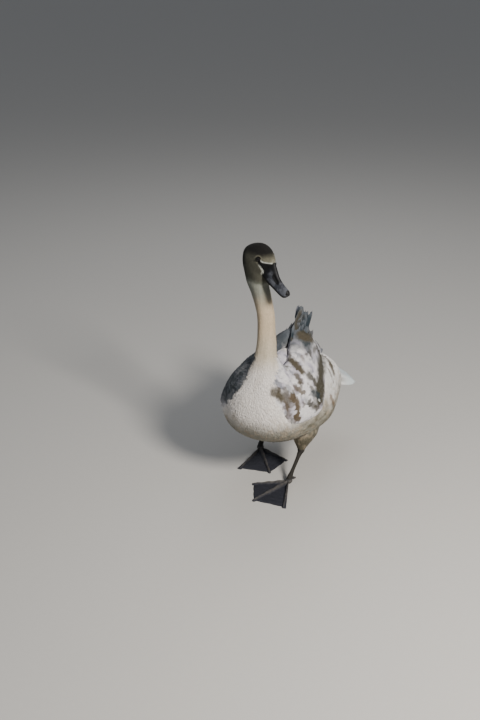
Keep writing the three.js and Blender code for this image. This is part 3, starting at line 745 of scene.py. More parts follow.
def footGrid(side, leg):
    # a fan of two parameters: the heading, from the outer toe's outer edge to the inner toe's, and the
    # share of the reach that way. Height is the higher of the web and each toe's round back, whose half
    # width narrows to the tip and swells at the joints
    toes = foot["toes"].values()
    headings = np.concatenate([np.radians(toe[1]) + np.linspace(-0.055, 0.055, 17) for toe in toes]
                              + [np.radians(np.linspace(35, 3, 15)), np.radians(np.linspace(-3, -34, 15))])
    headings = np.unique(np.round(headings, 5))
    share = np.linspace(0.02, 1, 46)
    reaches, angles = np.array([toe[:2] for toe in toes], float).T
    outer, middle, inner = angles = np.radians(angles)
    order = np.argsort(angles)
    along = np.interp(headings, angles[order], reaches[order])
    away = np.abs(headings[:, None] - angles[None, :]).min(1)
    gapShare = np.interp(headings, [inner, (middle + inner) / 2, middle, (outer + middle) / 2, outer],
                         [0, 1, 0, 1, 0])
    reach = along * (1 - foot["hollow"] * gapShare - foot["toeStep"] * smooth(0.02, 0.05, away) * (gapShare > 0))
    r = share[:, None] * reach
    height = np.full(r.shape, foot["web"]) * (1 + 0.25 * np.sin(r / 3.1 + 3 * headings))
    for reachToe, angleToe, thick in toes:
        d = r * np.sin(headings - np.radians(angleToe))
        f = np.clip(r * np.cos(headings - np.radians(angleToe)) / reachToe, 0, 1)
        width = thick * (1.12 - 0.5 * f) * (1 + 0.1 * np.cos(f * foot["knuckles"] * fullTurn))
        width = width * np.sqrt(np.clip((1.04 - f) / 0.08, 0.05, 1))
        ridge = width * foot["rounded"] * np.sqrt(np.clip(1 - (d / width) ** 2, 0, 1)) * smooth(0, 0.03, f + 0.02)
        height = np.maximum(height, ridge)
    aim = np.radians(leg["aim"]) + headings
    flat = np.array(leg["joint"][:2]) + r[..., None] * np.stack([side * np.sin(aim), -np.cos(aim)], -1)
    rimFall = smooth(1.0, 0.975, share)[:, None] * 0.55 + 0.45
    return [np.concatenate([flat, z[..., None]], -1) for z in (height * rimFall, np.zeros_like(height))]


def ball(centre, radii, rows=24, columns=32):
    # half turns from the lower pole to the upper, full turns round
    up, around = meshed(np.linspace(-np.pi / 2, np.pi / 2, rows)[1:-1], columns)
    grid = np.stack([np.cos(up) * np.cos(around), np.cos(up) * np.sin(around), np.sin(up)], -1)
    return np.array(centre) + grid * np.array(radii)


def tube(path, radii, columns):
    # rings square to a path of points, each of its own radius; the first ring's turn is carried along
    tangent = unit(np.gradient(path, axis=0))
    first = unit(np.cross(tangent[0], [0.31, 0.2, 0.93]))
    across = unit(first - tangent * (tangent @ first)[:, None])
    other = np.cross(tangent, across)
    angle = np.linspace(0, fullTurn, columns + 1)[:-1]
    return (path[:, None] + radii[:, None, None] * (across[:, None] * np.cos(angle)[:, None]
                                                    + other[:, None] * np.sin(angle)[:, None]))


def aboveGround(grid, lowest):
    # the height is no less than the lowest one
    grid[..., 2] = np.maximum(grid[..., 2], lowest)
    return grid


def lidRing(side, rows=48, columns=14):
    # a closed ring on the front of a globe: round the opening one way, round the lid's own thickness the other
    lid = skinPlan["lid"]
    thick = lid["thick"]
    around, angle = (np.linspace(0, fullTurn, n + 1)[:-1] for n in (rows, columns))
    ringA, ringZ = eye["opening"] * np.cos(around) * lid["wide"], eye["opening"] * np.sin(around) * lid["tall"]
    radius = np.hypot(ringA, ringZ)[:, None] + thick * np.cos(angle) + thick * 0.7
    rise = np.sqrt(np.clip(eye["radius"] ** 2 - radius**2 * 0.9, 4, None)) + thick * 0.8 * np.sin(angle)
    heading = np.arctan2(ringZ, ringA)[:, None]
    points = onHead(side * (eye["out"] - lid["sunk"] + rise), eye["ahead"] + radius * np.cos(heading),
                    eye["z"] + radius * np.sin(heading))
    return outward(points.reshape(-1, 3), [ringFaces(rows, columns, rows)])


def hindToe(side, leg):
    # a tapering tube that runs back and down from the toe joint
    toe = skinPlan["hindToe"]
    joint, aim = np.array(leg["joint"], float), np.radians(leg["aim"])
    back = -np.array([side * np.sin(aim), -np.cos(aim), 0])
    f = np.linspace(0, 1, 24)[:, None]
    rise = np.array([0, 0, 1]) * (joint[2] + toe["above"] - toe["fall"] * f)
    path = joint * (1, 1, 0) + back * (toe["from"] + toe["reach"] * f) + rise
    return tube(path, toe["radius"] - toe["taper"] * f[:, 0] ** 1.2, 24)


def skinShells():
    # the closed forms the skin is joined from: body, wings, thighs, shanks, feet, hind toes and lids
    shells = [shell(skinBody())]
    (padHeight, padRadii), (ankleHeight, ankleRadii) = skinPlan["pad"], skinPlan["ankle"]
    for name, side in sides.items():
        leg = legs[name]
        joint, ankle = np.array(leg["joint"], float), np.array(leg["ankle"], float)
        bone = limbSurface(joint + (0, 0, limbs["aboveToes"]), ankle, limbs["shank"])
        shells += [
            shell(wingSurface(side)(*meshed(np.linspace(0.03, 0.97, 80), 72), -skinPlan["wingDepth"])),
            shell(leg["thigh"](*meshed(np.linspace(0, 1, 40), 64), -skinPlan["thighDepth"])),
            shell(aboveGround(bone(*meshed(np.linspace(0, 1, 60), 48)), 1.0)),
            shell(aboveGround(ball((*joint[:2], padHeight), padRadii), 0.0)),
            slab(*footGrid(side, leg)),
            shell(ball(ankle + (0, 0, ankleHeight), ankleRadii)),
            shell(hindToe(side, leg)),
        ]
    return shells + [lidRing(side) for side in sides.values()]


def joinShells(name, shells):
    # the shells as one solid, by union
    whole = newPiece(name, *shells[0])
    others = bpy.data.collections.new("skinParts")
    for k, (points, faces) in enumerate(shells[1:]):
        part = newPiece(f"{name}_part{k}", points, faces)
        bpy.context.scene.collection.objects.unlink(part)
        others.objects.link(part)
    join = whole.modifiers.new("union", "BOOLEAN")
    join.operation = "UNION"
    join.operand_type = "COLLECTION"
    join.collection = others
    join.solver = "MANIFOLD"
    bpy.context.view_layer.update()
    merged = bpy.data.meshes.new_from_object(whole.evaluated_get(bpy.context.evaluated_depsgraph_get()))
    whole.modifiers.clear()
    whole.data = merged
    for part in list(others.objects):
        bpy.data.objects.remove(part)
    bpy.data.collections.remove(others)
    return whole


def skinColour(p):
    # the coat's own markings, then lids, legs, webs and toes by their place, with faint folds on the legs
    side, ahead, z = headPlace(p)
    eyeAway = np.hypot(ahead - eye["ahead"], z - eye["z"])
    fields = {"z": z, "grain": 0.6 + 0.4 * noise(p, 5, 41),
              "lidAway": np.hypot(eyeAway, (np.abs(side) - eye["out"]) * 0.5)}
    colour = mixZones(plumage(p, insideWing(p, 1.05) * 1.0), skinZones, fields)
    fold = noise(p * (1, 1, 0.2), 4.2, 43)
    return colour * (1 + 0.2 * fold * smooth(112, 96, z))[..., None]


skin = joinShells("skin", skinShells())
paint(skin.data, skinColour(places(skin.data)))
skin.data.polygons.foreach_set("use_smooth", np.ones(len(skin.data.polygons), bool))
fleshNodes = ["trunk", "neck_lower", "neck_middle", "neck_upper", "head"]
fleshNodes += [f"{part}_{name}" for part in ("wing", "thigh", "foot", "shank", "hind_toe") for name in sides]
finish(skin, skinMaterial(), "foot_skin", *fleshNodes)

bill = {
    "sections": [  # ridge ahead, z, lower edge ahead, z, half width
        (56, 711, 28, 674, 18), (64, 692, 44, 659, 17), (72, 675, 58, 650, 15), (83, 662, 73, 641, 13.5),
        (95, 653, 86, 634, 13.5), (106, 645, 99, 629, 12), (111, 639, 107, 631, 7),
    ],
    "nail": 0.81, "nailHigh": 0.9, "nailWide": 0.85, "hook": 1.5,
    "nostril": {"t": 0.34, "rise": 0.74, "long": 0.13, "tall": 0.13, "deep": 2.6, "lip": 0.8},
    "lower": {"drop": 9, "below": 1.9, "wide": 0.86},
}
billZones = [
    ("billSheen", 0.8, ("mottled", 0, 0.6)),
    ("billTip", 0.85, ("t", 0.62, 0.8), ("rise", 0.1, 0.4)),
    ("billRidge", 0.9, ("rise", 0.66, 0.82), ("t", 0.62, 0.4)),
    ("billRidge", 0.95, ("tWarped", 0.2, 0.06)),
    ("billEdge", 1, ("rise", 0.2, 0.06)),
    ("billEdge", 1, ("slit", 0.03, 0.3)),
    ("billNail", 1, ("pastNail", -0.005, 0.02), ("aside", 0.95, 0.86), ("onTop",)),
]


def billSections(t):
    # the lower edge, the way up from it to the ridge, the half width and the height between the two
    topA, topZ, lowA, lowZ, half = columnsAt(bill["sections"], t)
    tall = np.hypot(topA - lowA, topZ - lowZ)
    return lowA, lowZ, (topA - lowA) / tall, (topZ - lowZ) / tall, half, tall


def upperBill(t, angle):
    # a round ridge over a flat lower edge: the cosine of the angle times the half width, drawn in towards
    # the ridge; the sine times the height, and a shallow floor below. Slits sink where the nostrils are
    lowA, lowZ, upA, upZ, half, tall = billSections(t)
    rise = np.sin(angle)
    across = np.cos(angle) * half * (1 - 0.3 * (1 - t) * np.maximum(rise, 0) ** 2)
    hole = bill["nostril"]
    along, over = t - hole["t"], rise - hole["rise"]
    slit = np.exp(-(along / hole["long"]) ** 4 - (over / hole["tall"]) ** 2)
    lip = np.exp(-(along / (hole["long"] * 1.25)) ** 4 - (over / 0.2) ** 2)
    across = across - np.sign(across) * (hole["deep"] * slit - hole["lip"] * lip)
    nail = smooth(bill["nail"], bill["nail"] + 0.02, t) * np.maximum(rise, 0) * bill["nailHigh"]
    lift = np.where(rise > 0, rise * tall, rise * 1.2) + nail
    hook = smooth(0.93, 1, t) * bill["hook"]
    return onHead(across, lowA + upA * lift, lowZ + upZ * lift - hook), slit, rise


def lowerBill(t, angle):
    # the lower half hangs under the upper one by the sine times its drop, and thins towards the tip
    lowA, lowZ, upA, upZ, half = billSections(t)[:5]
    rise, lower = np.sin(angle), bill["lower"]
    fall = lower["below"] - rise * np.where(rise > 0, 1.4, lower["drop"] * (1 - 0.6 * t))
    return onHead(np.cos(angle) * half * lower["wide"], lowA - upA * fall, lowZ - upZ * fall)


t, angle = meshed(np.concatenate([np.linspace(0, 0.9, 110), np.linspace(0.906, 1, 20)]), 96)
grid, slit, rise = upperBill(t, angle)
billColour = mixZones(plain("billSide", grid), billZones, {
    "t": t, "rise": rise, "slit": slit, "aside": np.abs(np.cos(angle)), "onTop": rise > 0,
    "mottled": noise(grid, 7, 51) + 0.7 * noise(grid, 3, 52), "tWarped": t + 0.06 * noise(grid, 6, 53),
    "pastNail": t - bill["nail"] - 0.1 * (np.cos(angle) / bill["nailWide"]) ** 2,
})
upper = newPiece("bill_upper_horn", *shell(grid), closed(billColour))
finish(upper, billFinish, "bill_horn", "bill_upper", "bill_nail")
points, faces = shell(lowerBill(*meshed(np.linspace(0, 0.95, 70), 64)))
lower = newPiece("bill_lower_horn", points, faces, plain("billLower", points))
finish(lower, billFinish, "bill_horn", "bill_lower")

for name, side in sides.items():
    centre = onHead(side * eye["out"], eye["ahead"], eye["z"])
    points, faces = shell(ball(centre, [eye["radius"]] * 3, 40, 48))
    facing = unit(points - centre) @ (onHead(side, 0, 0) - onHead(0, 0, 0))
    irisColour = mix(plain("iris", points), "pupil", smooth(*eye["pupil"], facing))
    finish(newPiece(f"eye_globe_{name}", points, faces, irisColour), eyeFinish, "eye", f"eye_{name}")

for name, claw in frame["nodes"].items():
    if name.startswith("claw_"):
        claw.material_slots[0].material = clawFinish


def scatter(patch, spacing, low, high, seed, keep):
    # places spread evenly over a patch between two values of t: the golden spiral on a plane whose area
    # is the patch's own area over the square of the spacing there. Gives t, angle and that plane's place
    t, angle = patch["t"], patch["angle"]
    stepT, stepA = t[1] - t[0], angle[1] - angle[0]
    inReach = ((t >= low) & (t <= high))[:, None]
    density = patch["area"] / np.interp(t, *spacing)[:, None] ** 2 * inReach
    density = density * np.gradient(t)[:, None] * stepA
    density[:, -1] = 0
    byRow = np.concatenate([[0], np.cumsum(density.sum(1))])
    count = int(byRow[-1])
    n = np.arange(count)
    u, v = (n + 0.5) / count, n * 0.6180339887 % 1
    tEdge = np.concatenate([t - stepT / 2, [t[-1] + stepT / 2]])
    atT = np.clip(np.interp(u * byRow[-1], byRow, tEdge), low, high)
    row = np.clip(np.round(atT / stepT).astype(int), 0, len(t) - 1)
    byColumn = np.concatenate([np.zeros((len(t), 1)), np.cumsum(density, 1)[:, :-1]], 1)
    byColumn = byColumn / np.maximum(byColumn[:, -1:], 1e-12)
    found = byColumn[row]
    j = np.clip((found <= v[:, None]).sum(1) - 1, 0, byColumn.shape[1] - 2)
    a, b = found[n, j], found[n, j + 1]
    atAngle = angle[j] + (v - a) / np.maximum(b - a, 1e-12) * stepA
    atAngle = atAngle + np.random.default_rng(seed).normal(0, 0.12, count) * stepA
    chosen = keep(lookUp(patch["place"], atT, atAngle), atT, atAngle)
    uv = np.stack([v, u], -1) * 0.99 + 0.003
    return atT[chosen], atAngle[chosen], uv[chosen]


def onPatch(patch, t, angle):
    # the place and the outward normal, carried straight on past the ends of the surface
    beyond = t - np.clip(t, 0, 1)
    place = lookUp(patch["place"], t, angle) + lookUp(patch["slopeT"], t, angle) * beyond[..., None]
    return place, unit(lookUp(patch["normal"], t, angle))


def outline(u, swell, shoulder, fall, power, least):
    # a vane's share of its full width: 0.3 at the quill, full from swell, rounded off past the shoulder
    tip = np.clip(1 - (np.maximum(u - shoulder, 0) / fall) ** power, least, 1)
    return (0.3 + 0.7 * smooth(0, swell, u)) * np.sqrt(tip)


def layFeathers(patch, t, angle, length, width, style, rng):
    # each vane's spine walks over the surface the way the coat lies, in equal steps; across it the width
    # rises from the root and rounds off at the tip, the edges droop, and the tips are ragged
    (rows, columns), count = style["grid"], len(t)
    yaw = rng.normal(0, style["yaw"], count)
    u, v = np.linspace(0, 1, rows), np.linspace(-1, 1, columns)
    spine, normal = np.empty((count, rows, 3)), np.empty((count, rows, 3))
    nowT, nowA = t.copy(), angle.copy()
    for k in range(rows):
        spine[:, k], normal[:, k] = onPatch(patch, nowT, nowA)
        speedT, speedA = (np.maximum(np.linalg.norm(lookUp(patch[key], nowT, nowA), axis=-1), slowest)
                          for key, slowest in (("slopeT", style["slowest"]), ("slopeA", 8)))
        step = length / (rows - 1)
        nowT = nowT + patch["flow"] * step * np.cos(yaw) / speedT
        nowA = nowA + step * np.sin(yaw) / speedA
    tangent = unit(np.gradient(spine, axis=1))
    normal = unit(normal - tangent * (normal * tangent).sum(-1, keepdims=True))
    side = np.cross(normal, tangent)
    rootLift, tipLift = style["lift"]
    raised = rng.uniform(-0.35, 1, count) * style["loose"]
    height = rootLift + (tipLift - rootLift) * u**1.1 + raised[:, None] * u**2
    half = width[:, None] * outline(u, 0.35, 0.55, 0.47, 2.3, 0.02) / 2
    droop = style["camber"] * half[..., None] * v**2
    comb = np.where(np.arange(columns) % 2, -1, 1) * rng.uniform(0.1, 1, (count, 1, columns))
    ragged = comb * style["ragged"] / 2 * (length[:, None, None] * u[:, None] ** 3)
    return (spine[:, :, None] + side[:, :, None] * (half[..., None] * v)[..., None]
            + normal[:, :, None] * (height[..., None] - droop)[..., None] + tangent[:, :, None] * ragged[..., None])


bakePatch = (0.0014, 0.0028)  # half the width, and the length, of a vane's patch on the bake map


def coatPiece(name, points, uv, rng, wingShare, ownShare, lines=0.0, material=softFeather, slotName="plumage"):
    # paint the vanes by their place, each a little different, darker at the root and lighter at the tip
    count, rows, columns = points.shape[:3]
    u, v = np.linspace(0, 1, rows)[:, None], np.linspace(-1, 1, columns)[None, :]
    middle = points[:, rows // 2:rows // 2 + 1, columns // 2:columns // 2 + 1]
    share = wingCover(middle) if wingShare is None else wingShare
    own = rng.normal(1, 0.035, (count, 1, 1, 1)) * (1 + np.reshape(lines, (-1, 1, 1, 1)))
    shade = (0.9 + 0.12 * smooth(0, 0.8, u)) * (1 - 0.06 * np.abs(v))
    colour = plumage(points * (1 - ownShare) + middle * ownShare, share) * own * shade[..., None]
    onBake = np.stack(np.broadcast_arrays(v * bakePatch[0], (u - 0.5) * bakePatch[1]), -1)
    patchUv = uv[:, None, None] + onBake[None]
    vaneUv = np.broadcast_to(np.stack(np.broadcast_arrays(v / 2 + 0.5, u), -1), patchUv.shape)
    finish(newPiece(name, points, [sheetFaces(count, rows, columns)], colour, patchUv, vaneUv), material, slotName)


def varied(table, t, rng):
    # a size by t, from places and values, then a random share of it where the table gives two ends
    places, values, *shares = table
    size = np.interp(t, places, values)
    return size * rng.uniform(*shares, len(t)) if shares else size


def growCoat(name, patch, style, seeds, keep, wingShare, ownShare, lines=None):
    # scatter roots over a patch, size a vane for each, lay them and paint them
    rng = np.random.default_rng(seeds[0])
    t, angle, uv = scatter(patch, style["spacing"], *style["reach"], seeds[1], keep)
    length, width = varied(style["length"], t, rng), varied(style["breadth"], t, rng)
    points = layFeathers(patch, t, angle, length, width, style, rng)
    coatPiece(name, points, uv, rng, wingShare, ownShare, lines(t, angle) if lines else 0.0)


def bySections(*pairs):
    # places along the body and values there, from pairs of a section number, counted from the tail, and a value
    numbers, values = zip(*pairs)
    return np.array(numbers) / lastSection, values


coat = {
    "spacing": bySections((0, 6.2), (4, 5.4), (7, 4.1), (9, 3.4), (10.5, 2.9), (12, 2.6), (16, 2.3), (18, 1.9),
                          (24, 1.6)),
    "length": (*bySections((0, 40), (2, 34), (5, 28), (8, 21), (10, 15), (12, 11), (16, 9), (18, 6.5), (22, 4.6),
                           (24, 3.4)), 0.85, 1.15),
    "breadth": (*bySections((0, 12), (4, 10), (8, 7), (10, 5), (12, 3.8), (16, 3.2), (18, 2.6), (24, 1.9)), 0.85, 1.15),
    "camber": 0.15, "ragged": 0.3,
    "pieces": {  # section numbers from and to, rows and columns of a vane, lift of root and tip
        "coat_rear": {"sections": (0.1, 4.6), "grid": (5, 5), "lift": (-5, 0.5), "loose": 0.45, "yaw": 0.14,
                      "camber": 0.2, "ragged": 0.22, "slowest": 300},
        "coat_breast": {"sections": (4.6, 8.2), "grid": (5, 5), "lift": (-5, 0.2), "loose": 0.4, "yaw": 0.12,
                        "ragged": 0.22, "slowest": 300},
        "coat_neck_base": {"sections": (8.2, 11.2), "grid": (5, 3), "lift": (-4, 0.0), "loose": 0.6, "yaw": 0.12,
                           "slowest": 200},
        "coat_neck": {"sections": (11.2, 16.4), "grid": (5, 3), "lift": (-3, -0.3), "loose": 0.5, "yaw": 0.12,
                      "slowest": 150},
        "coat_head": {"sections": (16.4, 23.9), "grid": (4, 3), "lift": (-2.4, -0.45), "loose": 0.32, "yaw": 0.1,
                      "slowest": 60},
    },
    "eyeGap": 3.0, "loresGap": 0.8,
}
shoulderCoat = {
    "spacing": bySections((0, 5.4)), "reach": bySections((3.5, 0), (11.5, 0))[0],
    "length": (*bySections((7, 1), (10, 0.7), (11.5, 0.5)), 24, 36),
    "breadth": (*bySections((7, 1), (10, 0.7), (11.5, 0.55)), 11, 17),
    "grid": (6, 5), "lift": (-4, 0.7), "loose": 0.7, "yaw": 0.13, "camber": 0.12, "ragged": 0.16, "slowest": 300,
}
wingCoat = {
    "spacing": bySections((0, 6.6)), "reach": (0.01, 0.97), "length": ((0, 0.2, 1), (22, 30, 46), 0.8, 1.2),
    "breadth": ((0, 0.2, 1), (12, 15, 15), 0.8, 1.15), "grid": (6, 5), "lift": (-7, -0.5), "loose": 0.8,
    "yaw": 0.13, "camber": 0.15, "ragged": 0.22, "slowest": 200,
    "longZone": {"t": (0.44, 0.86), "angle": (-1.5, 0.3)},  # where the long feathers lie bare
}
thighCoat = {
    "spacing": bySections((0, 5.0)), "reach": (0.2, 0.9), "length": ((0.2, 0.4), (13, 24), 0.8, 1.2),
    "breadth": bySections((0, 9.0)), "grid": (4, 3), "lift": (-3, 0.4), "loose": 1.2, "yaw": 0.2, "camber": 0.2,
    "ragged": 0.35, "slowest": 30,
}
wingRows = {
    "rows": [  # from below upwards: count, first and last angle, root t, length, breadth, lift
        (15, (-1.55, 0.4), (0.58, 0.66), (118, 128), 21, (-9, -3.0)),
        (15, (-1.5, 0.4), (0.46, 0.56), (112, 126), 22, (-8, -2.2)),
        (15, (-1.5, 0.35), (0.30, 0.46), (122, 150), 24, (-7, -1.4)),
        (19, (-1.5, 0.5), (0.24, 0.38), (66, 74), 20, (-5.5, -0.2)),
        (23, (-1.5, 0.55), (0.18, 0.30), (46, 52), 17, (-5, 0.8)),
    ],
    "grid": (16, 9), "loose": 0.35, "yaw": 0.015, "camber": 0.25, "ragged": 0.035, "slowest": 200, "stack": 1.4,
}


def keepOnBody(p, t, angle):
    # off the wings and their cover, the bare lores and the eye
    side, ahead, z = headPlace(p)
    eyeAway = np.hypot((ahead - eye["ahead"] - 2.2) * 0.85, z - eye["z"]) + 20 * (z < 600)
    bare = (inLores(p) > -coat["loresGap"]) & (z > 640)
    offEye = (eyeAway > eye["opening"] + coat["eyeGap"]) | (np.abs(side) < 12)
    return ~insideWing(p, 0.9) & ~bare & offEye & (wingCover(p) < 0.7)


def keepOnShoulders(p, t, angle):
    # where the wing's feathers cover the trunk, but not well inside the wing
    return (wingCover(p) > 0.35) & ~insideWing(p, 0.85)


def keepOnWing(side):
    def keep(p, t, angle):
        # near or outside the body's surface, on the wing's own side and out of the long feathers' zone
        (tLow, tHigh), (low, high) = wingCoat["longZone"].values()
        turned = (angle + np.pi) % fullTurn - np.pi
        isLong = (t > tLow) & (t < tHigh) & (turned > low) & (turned < high)
        return (depthInBody(p) < 8) & (p[..., 0] * side > -16) & ~isLong
    return keep


def keepOnThigh(p, t, angle):
    # outside the body's surface or just under it
    return depthInBody(p) < 6


def flowLines(t, angle):
    # faint lines that run the way the coat lies: noise that is long along t and short across it
    around = np.stack([np.cos(angle) * 30, np.sin(angle) * 30, t * 14], -1)
    return 0.09 * noise(around, 1.6, 61) + 0.06 * noise(around, 0.7, 62)


for k, (name, style) in enumerate(coat["pieces"].items()):
    style = coat | style | {"reach": [section / lastSection for section in style["sections"]]}
    growCoat(name, patches["body"], style, (100 + k, 50 + k), keepOnBody, 0.0, 0.3, flowLines)
growCoat("coat_shoulders", patches["body"], shoulderCoat, (190, 60), keepOnShoulders, None, 0.5)
for k, (name, side) in enumerate(sides.items()):
    growCoat("coat_wing_" + name, patches["wing_" + name], wingCoat, (200 + k, 70 + k), keepOnWing(side), 1.0, 0.6)
for k, name in enumerate(sides):
    rng = np.random.default_rng(230 + k)
    patch, sets = patches["wing_" + name], []
    for count, angles, roots, lengths, breadth, lift in wingRows["rows"]:
        f = np.linspace(0, 1, count)
        angle = np.interp(f, [0, 1], angles) + rng.normal(0, 0.012, count)
        t = np.interp(f, [0, 1], roots) + rng.normal(0, 0.004, count)
        length = np.interp(f, [0, 1], lengths) * rng.uniform(0.96, 1.04, count)
        points = layFeathers(patch, t, angle, length, np.full(count, float(breadth)), wingRows | {"lift": lift}, rng)
        overNext = onPatch(patch, t, angle)[1] * f[:, None] * wingRows["stack"]
        sets.append(points + overNext[:, None, None])
    points = np.concatenate(sets)
    n = np.arange(len(points))
    uv = np.stack([n % 8 / 8 + 0.05, n // 8 / 8 + 0.05], -1)
    coatPiece("wing_rows_" + name, points, uv, rng, 1.0, 0.25, 0.0, longFeather, "flight_feathers")
for k, name in enumerate(sides):
    growCoat("coat_thigh_" + name, patches["thigh_" + name], thighCoat, (300 + k, 90 + k), keepOnThigh, 0.0, 0.3)


def turnBy(degrees, axis):
    # the matrix of a turn about one axis, from its cosine and sine
    a = math.radians(degrees)
    c, s = math.cos(a), math.sin(a)
    return np.array({"x": [[1, 0, 0], [0, c, -s], [0, s, c]], "y": [[c, 0, s], [0, 1, 0], [-s, 0, c]],
                     "z": [[c, -s, 0], [s, c, 0], [0, 0, 1]]}[axis])


def turned(heading, rise, lean):
    # the lean about the blade's own length, then its rise, then its heading
    return turnBy(heading, "z") @ turnBy(rise, "x") @ turnBy(lean, "y")


def blade(root, reach, width, turn, seed, camber=0.12, fray=1.6, thick=1.1, rows=26, columns=13):
    # a vane of two parameters: the width swells from the quill and rounds off at the tip, the edges droop,
    # the shaft stands up as a ridge, and splits bite the edges; two such sheets make the two faces
    rng = np.random.default_rng(seed)
    u, v = np.linspace(0, 1, rows)[:, None], np.linspace(-1, 1, columns)[None, :]
    half = width / 2 * outline(u, 0.25, 0.62, 0.385, 2.2, 0.01)
    x = v * (half * (1 + rng.uniform(-0.07, 0.02, (rows, 1)) * (np.abs(v) > 0.8)))
    y = u * reach - np.abs(v) * half * 0.12 + rng.uniform(-1, 1, (1, columns)) * fray * u**3
    z = -camber * half * v**2 * 2 + 1.1 * np.exp(-(v / 0.1) ** 2) * (1 - 0.7 * u)
    skinHalf = thick / 2 * (1 - 0.6 * np.abs(v)) * (1 - 0.4 * u)
    return [np.stack(np.broadcast_arrays(x, y, face), -1) @ turn.T + root for face in (z + skinHalf, z - skinHalf)]


def bladePiece(name, blades, spec, node):
    # many blades in one piece, each with its own cell of the bake map, its two faces side by side there
    points, faces, colours, uvs, vanes, start = [], [], [], [], [], 0
    cells = math.ceil(math.sqrt(len(blades)))
    for k, (top, bottom) in enumerate(blades):
        p, (quads,) = slab(top, bottom)
        u, v = (w.ravel() for w in np.meshgrid(*(np.linspace(0, 1, n) for n in top.shape[:2]), indexing="ij"))
        flatUv = np.stack([v, u], 1)
        for corner in (0.03, 0.52):
            uvs.append(((k % cells, k // cells) + np.array([corner, 0.03]) + flatUv * (0.45, 0.94)) / cells)
            vanes.append(flatUv)
        fields = {"x": p[:, 0], "along": np.tile(u, 2), "rim": np.abs(np.tile(v, 2) * 2 - 1)}
        for field, size, seed in spec["noises"]:
            fields[field] = noise(p, size, seed + k * (field == "own"))
        points.append(p)
        faces.append(quads + start)
        colours.append(mixZones(plain(spec["ground"], p), spec["zones"], fields))
        start += len(p)
    points, faces, colours, uvs, vanes = (np.concatenate(part) for part in (points, faces, colours, uvs, vanes))
    finish(newPiece(name, points, [faces], colours, uvs, vanes), longFeather, "flight_feathers", node)


def fanOf(spec, side, seed):
    # blades side by side from the lowest to the highest, then short ragged vanes rooted along them
    lean = side * spec["lean"]

    def frameAt(share):
        heading, rise = -side * np.interp(share, [0, 1], spec["splay"]), np.interp(share, [0, 1], spec["rise"])
        return heading, rise, (np.array(spec["root"]) + np.array([-6, 10, 8]) * share) * (side, 1, 1)

    blades = []
    for i in range(spec["count"]):
        share = i / (spec["count"] - 1)
        heading, rise, root = frameAt(share)
        reach = spec["reach"] * (0.86 + 0.14 * share) * (1 - 0.03 * (i % 2))
        blades.append(blade(root, reach, spec["width"], turned(heading, rise, lean), seed + i))
    rng = np.random.default_rng(seed + 90)
    for i in range(spec["loose"]):
        share, part = rng.uniform(0, 1), rng.uniform(0.3, 0.44)
        start = min(rng.uniform(0.05, 0.7), 1.0 - part)
        heading, rise, root = frameAt(share)
        offset = np.array([rng.uniform(-0.4, 0.4) * spec["over"], start * spec["reach"], 1.5])
        root = root + turned(heading, rise, lean) @ offset
        width = rng.uniform(13, 20)
        turn = turned(heading + rng.normal(0, 5), rise + rng.normal(2, 4), lean + rng.normal(0, 14))
        blades.append(blade(root, part * spec["reach"], width, turn, seed + 100 + i, **spec["looseVane"]))
    return blades


longFeathers = {  # a noise named own differs from blade to blade
    "tertials": {
        "count": 7, "root": (36, 62, 372), "reach": 184, "rise": (10, 22), "splay": (-8, -15), "width": 38,
        "lean": 50, "loose": 46, "over": 56,
        "looseVane": {"camber": 0.2, "fray": 7.0, "thick": 0.8, "rows": 14, "columns": 9},
        "ground": "slate", "noises": [("cloud", 26, 61), ("own", 20, 62)],
        "zones": [
            ("blotch", 0.7, ("cloud", -0.1, 0.4)), ("grey", 0.6, ("own", 0.1, 0.6)), ("lilac", 0.35, ("x", -16, -26)),
            ("grey", 0.3, ("rim", 0.6, 1)), ("grey", 0.6, ("along", 0.6, 1)),
        ],
    },
    "underTertials": {"reach": 136, "splay": (-5, -9), "loose": 30},  # the right fan ends below the left one
    "primaries": {
        "count": 7, "root": (28, 186, 276), "reach": 178, "rise": (-14, -9), "splay": (-12, -5), "width": 25,
        "lean": 58, "loose": 0, "ground": "grey", "noises": [("own", 30, 71)],
        "zones": [("stripe", 0.6, ("own", -0.1, 0.5)), ("rump", 0.5, ("rim", 0.75, 1))],
    },
    "tail": {
        "count": 19, "root": (31, 226, 256), "reach": 178, "drop": 21, "spread": 56, "turn": 10, "width": 36,
        "shorten": 0.14, "arch": 44, "roll": 90, "across": 26, "camber": 0.06, "ground": "rump", "noises": [],
        "zones": [
            ("stripe", 0.5, ("rim", 0.7, 0.25), ("along", 0.1, 0.4), ("along", 0.95, 0.6)),
            ("tailTip", 1, ("along", 0.6, 0.9)),
        ],
    },
}
for name, side in sides.items():
    spec = longFeathers["tertials"] | (longFeathers["underTertials"] if name == "right" else {})
    bladePiece("tertial_feathers_" + name, fanOf(spec, side, 400), spec, "tertials_" + name)
    spec = longFeathers["primaries"]
    bladePiece("primary_feathers_" + name, fanOf(spec, side, 450), spec, "primaries_" + name)
spec = longFeathers["tail"]
tailBlades = []
for i in range(spec["count"]):
    share = i / (spec["count"] - 1) - 0.5
    reach = spec["reach"] * (1 - spec["shorten"] * abs(share) * 2)
    root = np.array(spec["root"]) - (share * spec["across"], 0, abs(share) * spec["arch"])
    turn = turned(share * spec["spread"] - spec["turn"], -spec["drop"], share * -spec["roll"])
    tailBlades.append(blade(root, reach, spec["width"], turn, 500 + i, spec["camber"]))
bladePiece("tail_feathers", tailBlades, spec, "tail")

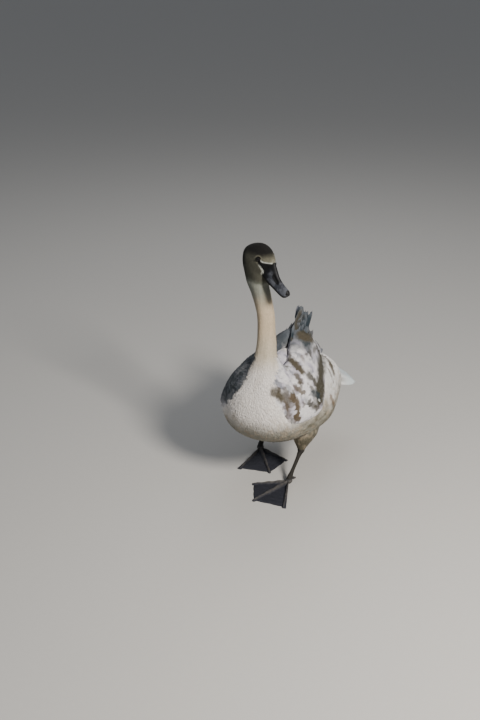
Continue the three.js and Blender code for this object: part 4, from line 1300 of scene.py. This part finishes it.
stage = {
    "floorTone": (0.47, 0.455, 0.43), "floorDark": 0.96, "floorSize": 24.0, "airTone": (0.82, 0.87, 0.95), "air": 0.27,
}
half = stage["floorSize"]
floorMesh = bpy.data.meshes.new("floor")
floorMesh.from_pydata([(-half, -half, 0), (half, -half, 0), (half, half, 0), (-half, half, 0)], [], [(0, 1, 2, 3)])
floorDark = [c * stage["floorDark"] for c in stage["floorTone"]]
floorMesh.materials.append(grainedMaterial("floor", 60.0, 4.0, floorDark, stage["floorTone"], 0.85))
floor = link(bpy.data.objects.new("floor", floorMesh))

world = bpy.data.worlds.new("air")
bpy.context.scene.world = world
world.use_nodes = True
sky = world.node_tree.nodes["Background"]
sky.inputs[0].default_value, sky.inputs[1].default_value = (*stage["airTone"], 1), stage["air"]

lamps = {  # azimuth from straight ahead of the bird, towards its left, elevation, distance, size, power, colour
    "key": (58, 36, 3.0, 0.7, 152, (1.0, 0.955, 0.89)),
    "fill": (-35, 30, 3.4, 3.0, 11, (0.86, 0.92, 1.0)),
    "back": (200, 50, 3.2, 2.0, 22, (0.95, 0.97, 1.0)),
}
aimAt = np.array([0, -0.1, 0.35])
for name, (azimuth, elevation, distance, size, power, colour) in lamps.items():
    a, e = math.radians(azimuth), math.radians(elevation)
    data = bpy.data.lights.new(name, "AREA")
    data.shape, data.size, data.energy, data.color = "DISK", size, power, colour
    lamp = link(bpy.data.objects.new(name, data))
    lamp.location = aimAt + np.array([math.sin(a) * math.cos(e), -math.cos(a) * math.cos(e), math.sin(e)]) * distance
    lamp.rotation_euler = (math.pi / 2 - e, 0, a)
print("floor, air and", len(lamps), "lamps")

view = {"place": (1.012, -2.419, 1.600), "azimuth": 25.0, "down": 25.1, "lens": 50.0}
cameraData = bpy.data.cameras.new("camera")
cameraData.lens = view["lens"]
camera = link(bpy.data.objects.new("camera", cameraData))
camera.location = np.array(view["place"]) + shift
camera.rotation_euler = (math.radians(90 - view["down"]), 0, math.radians(view["azimuth"]))
bpy.context.scene.camera = camera
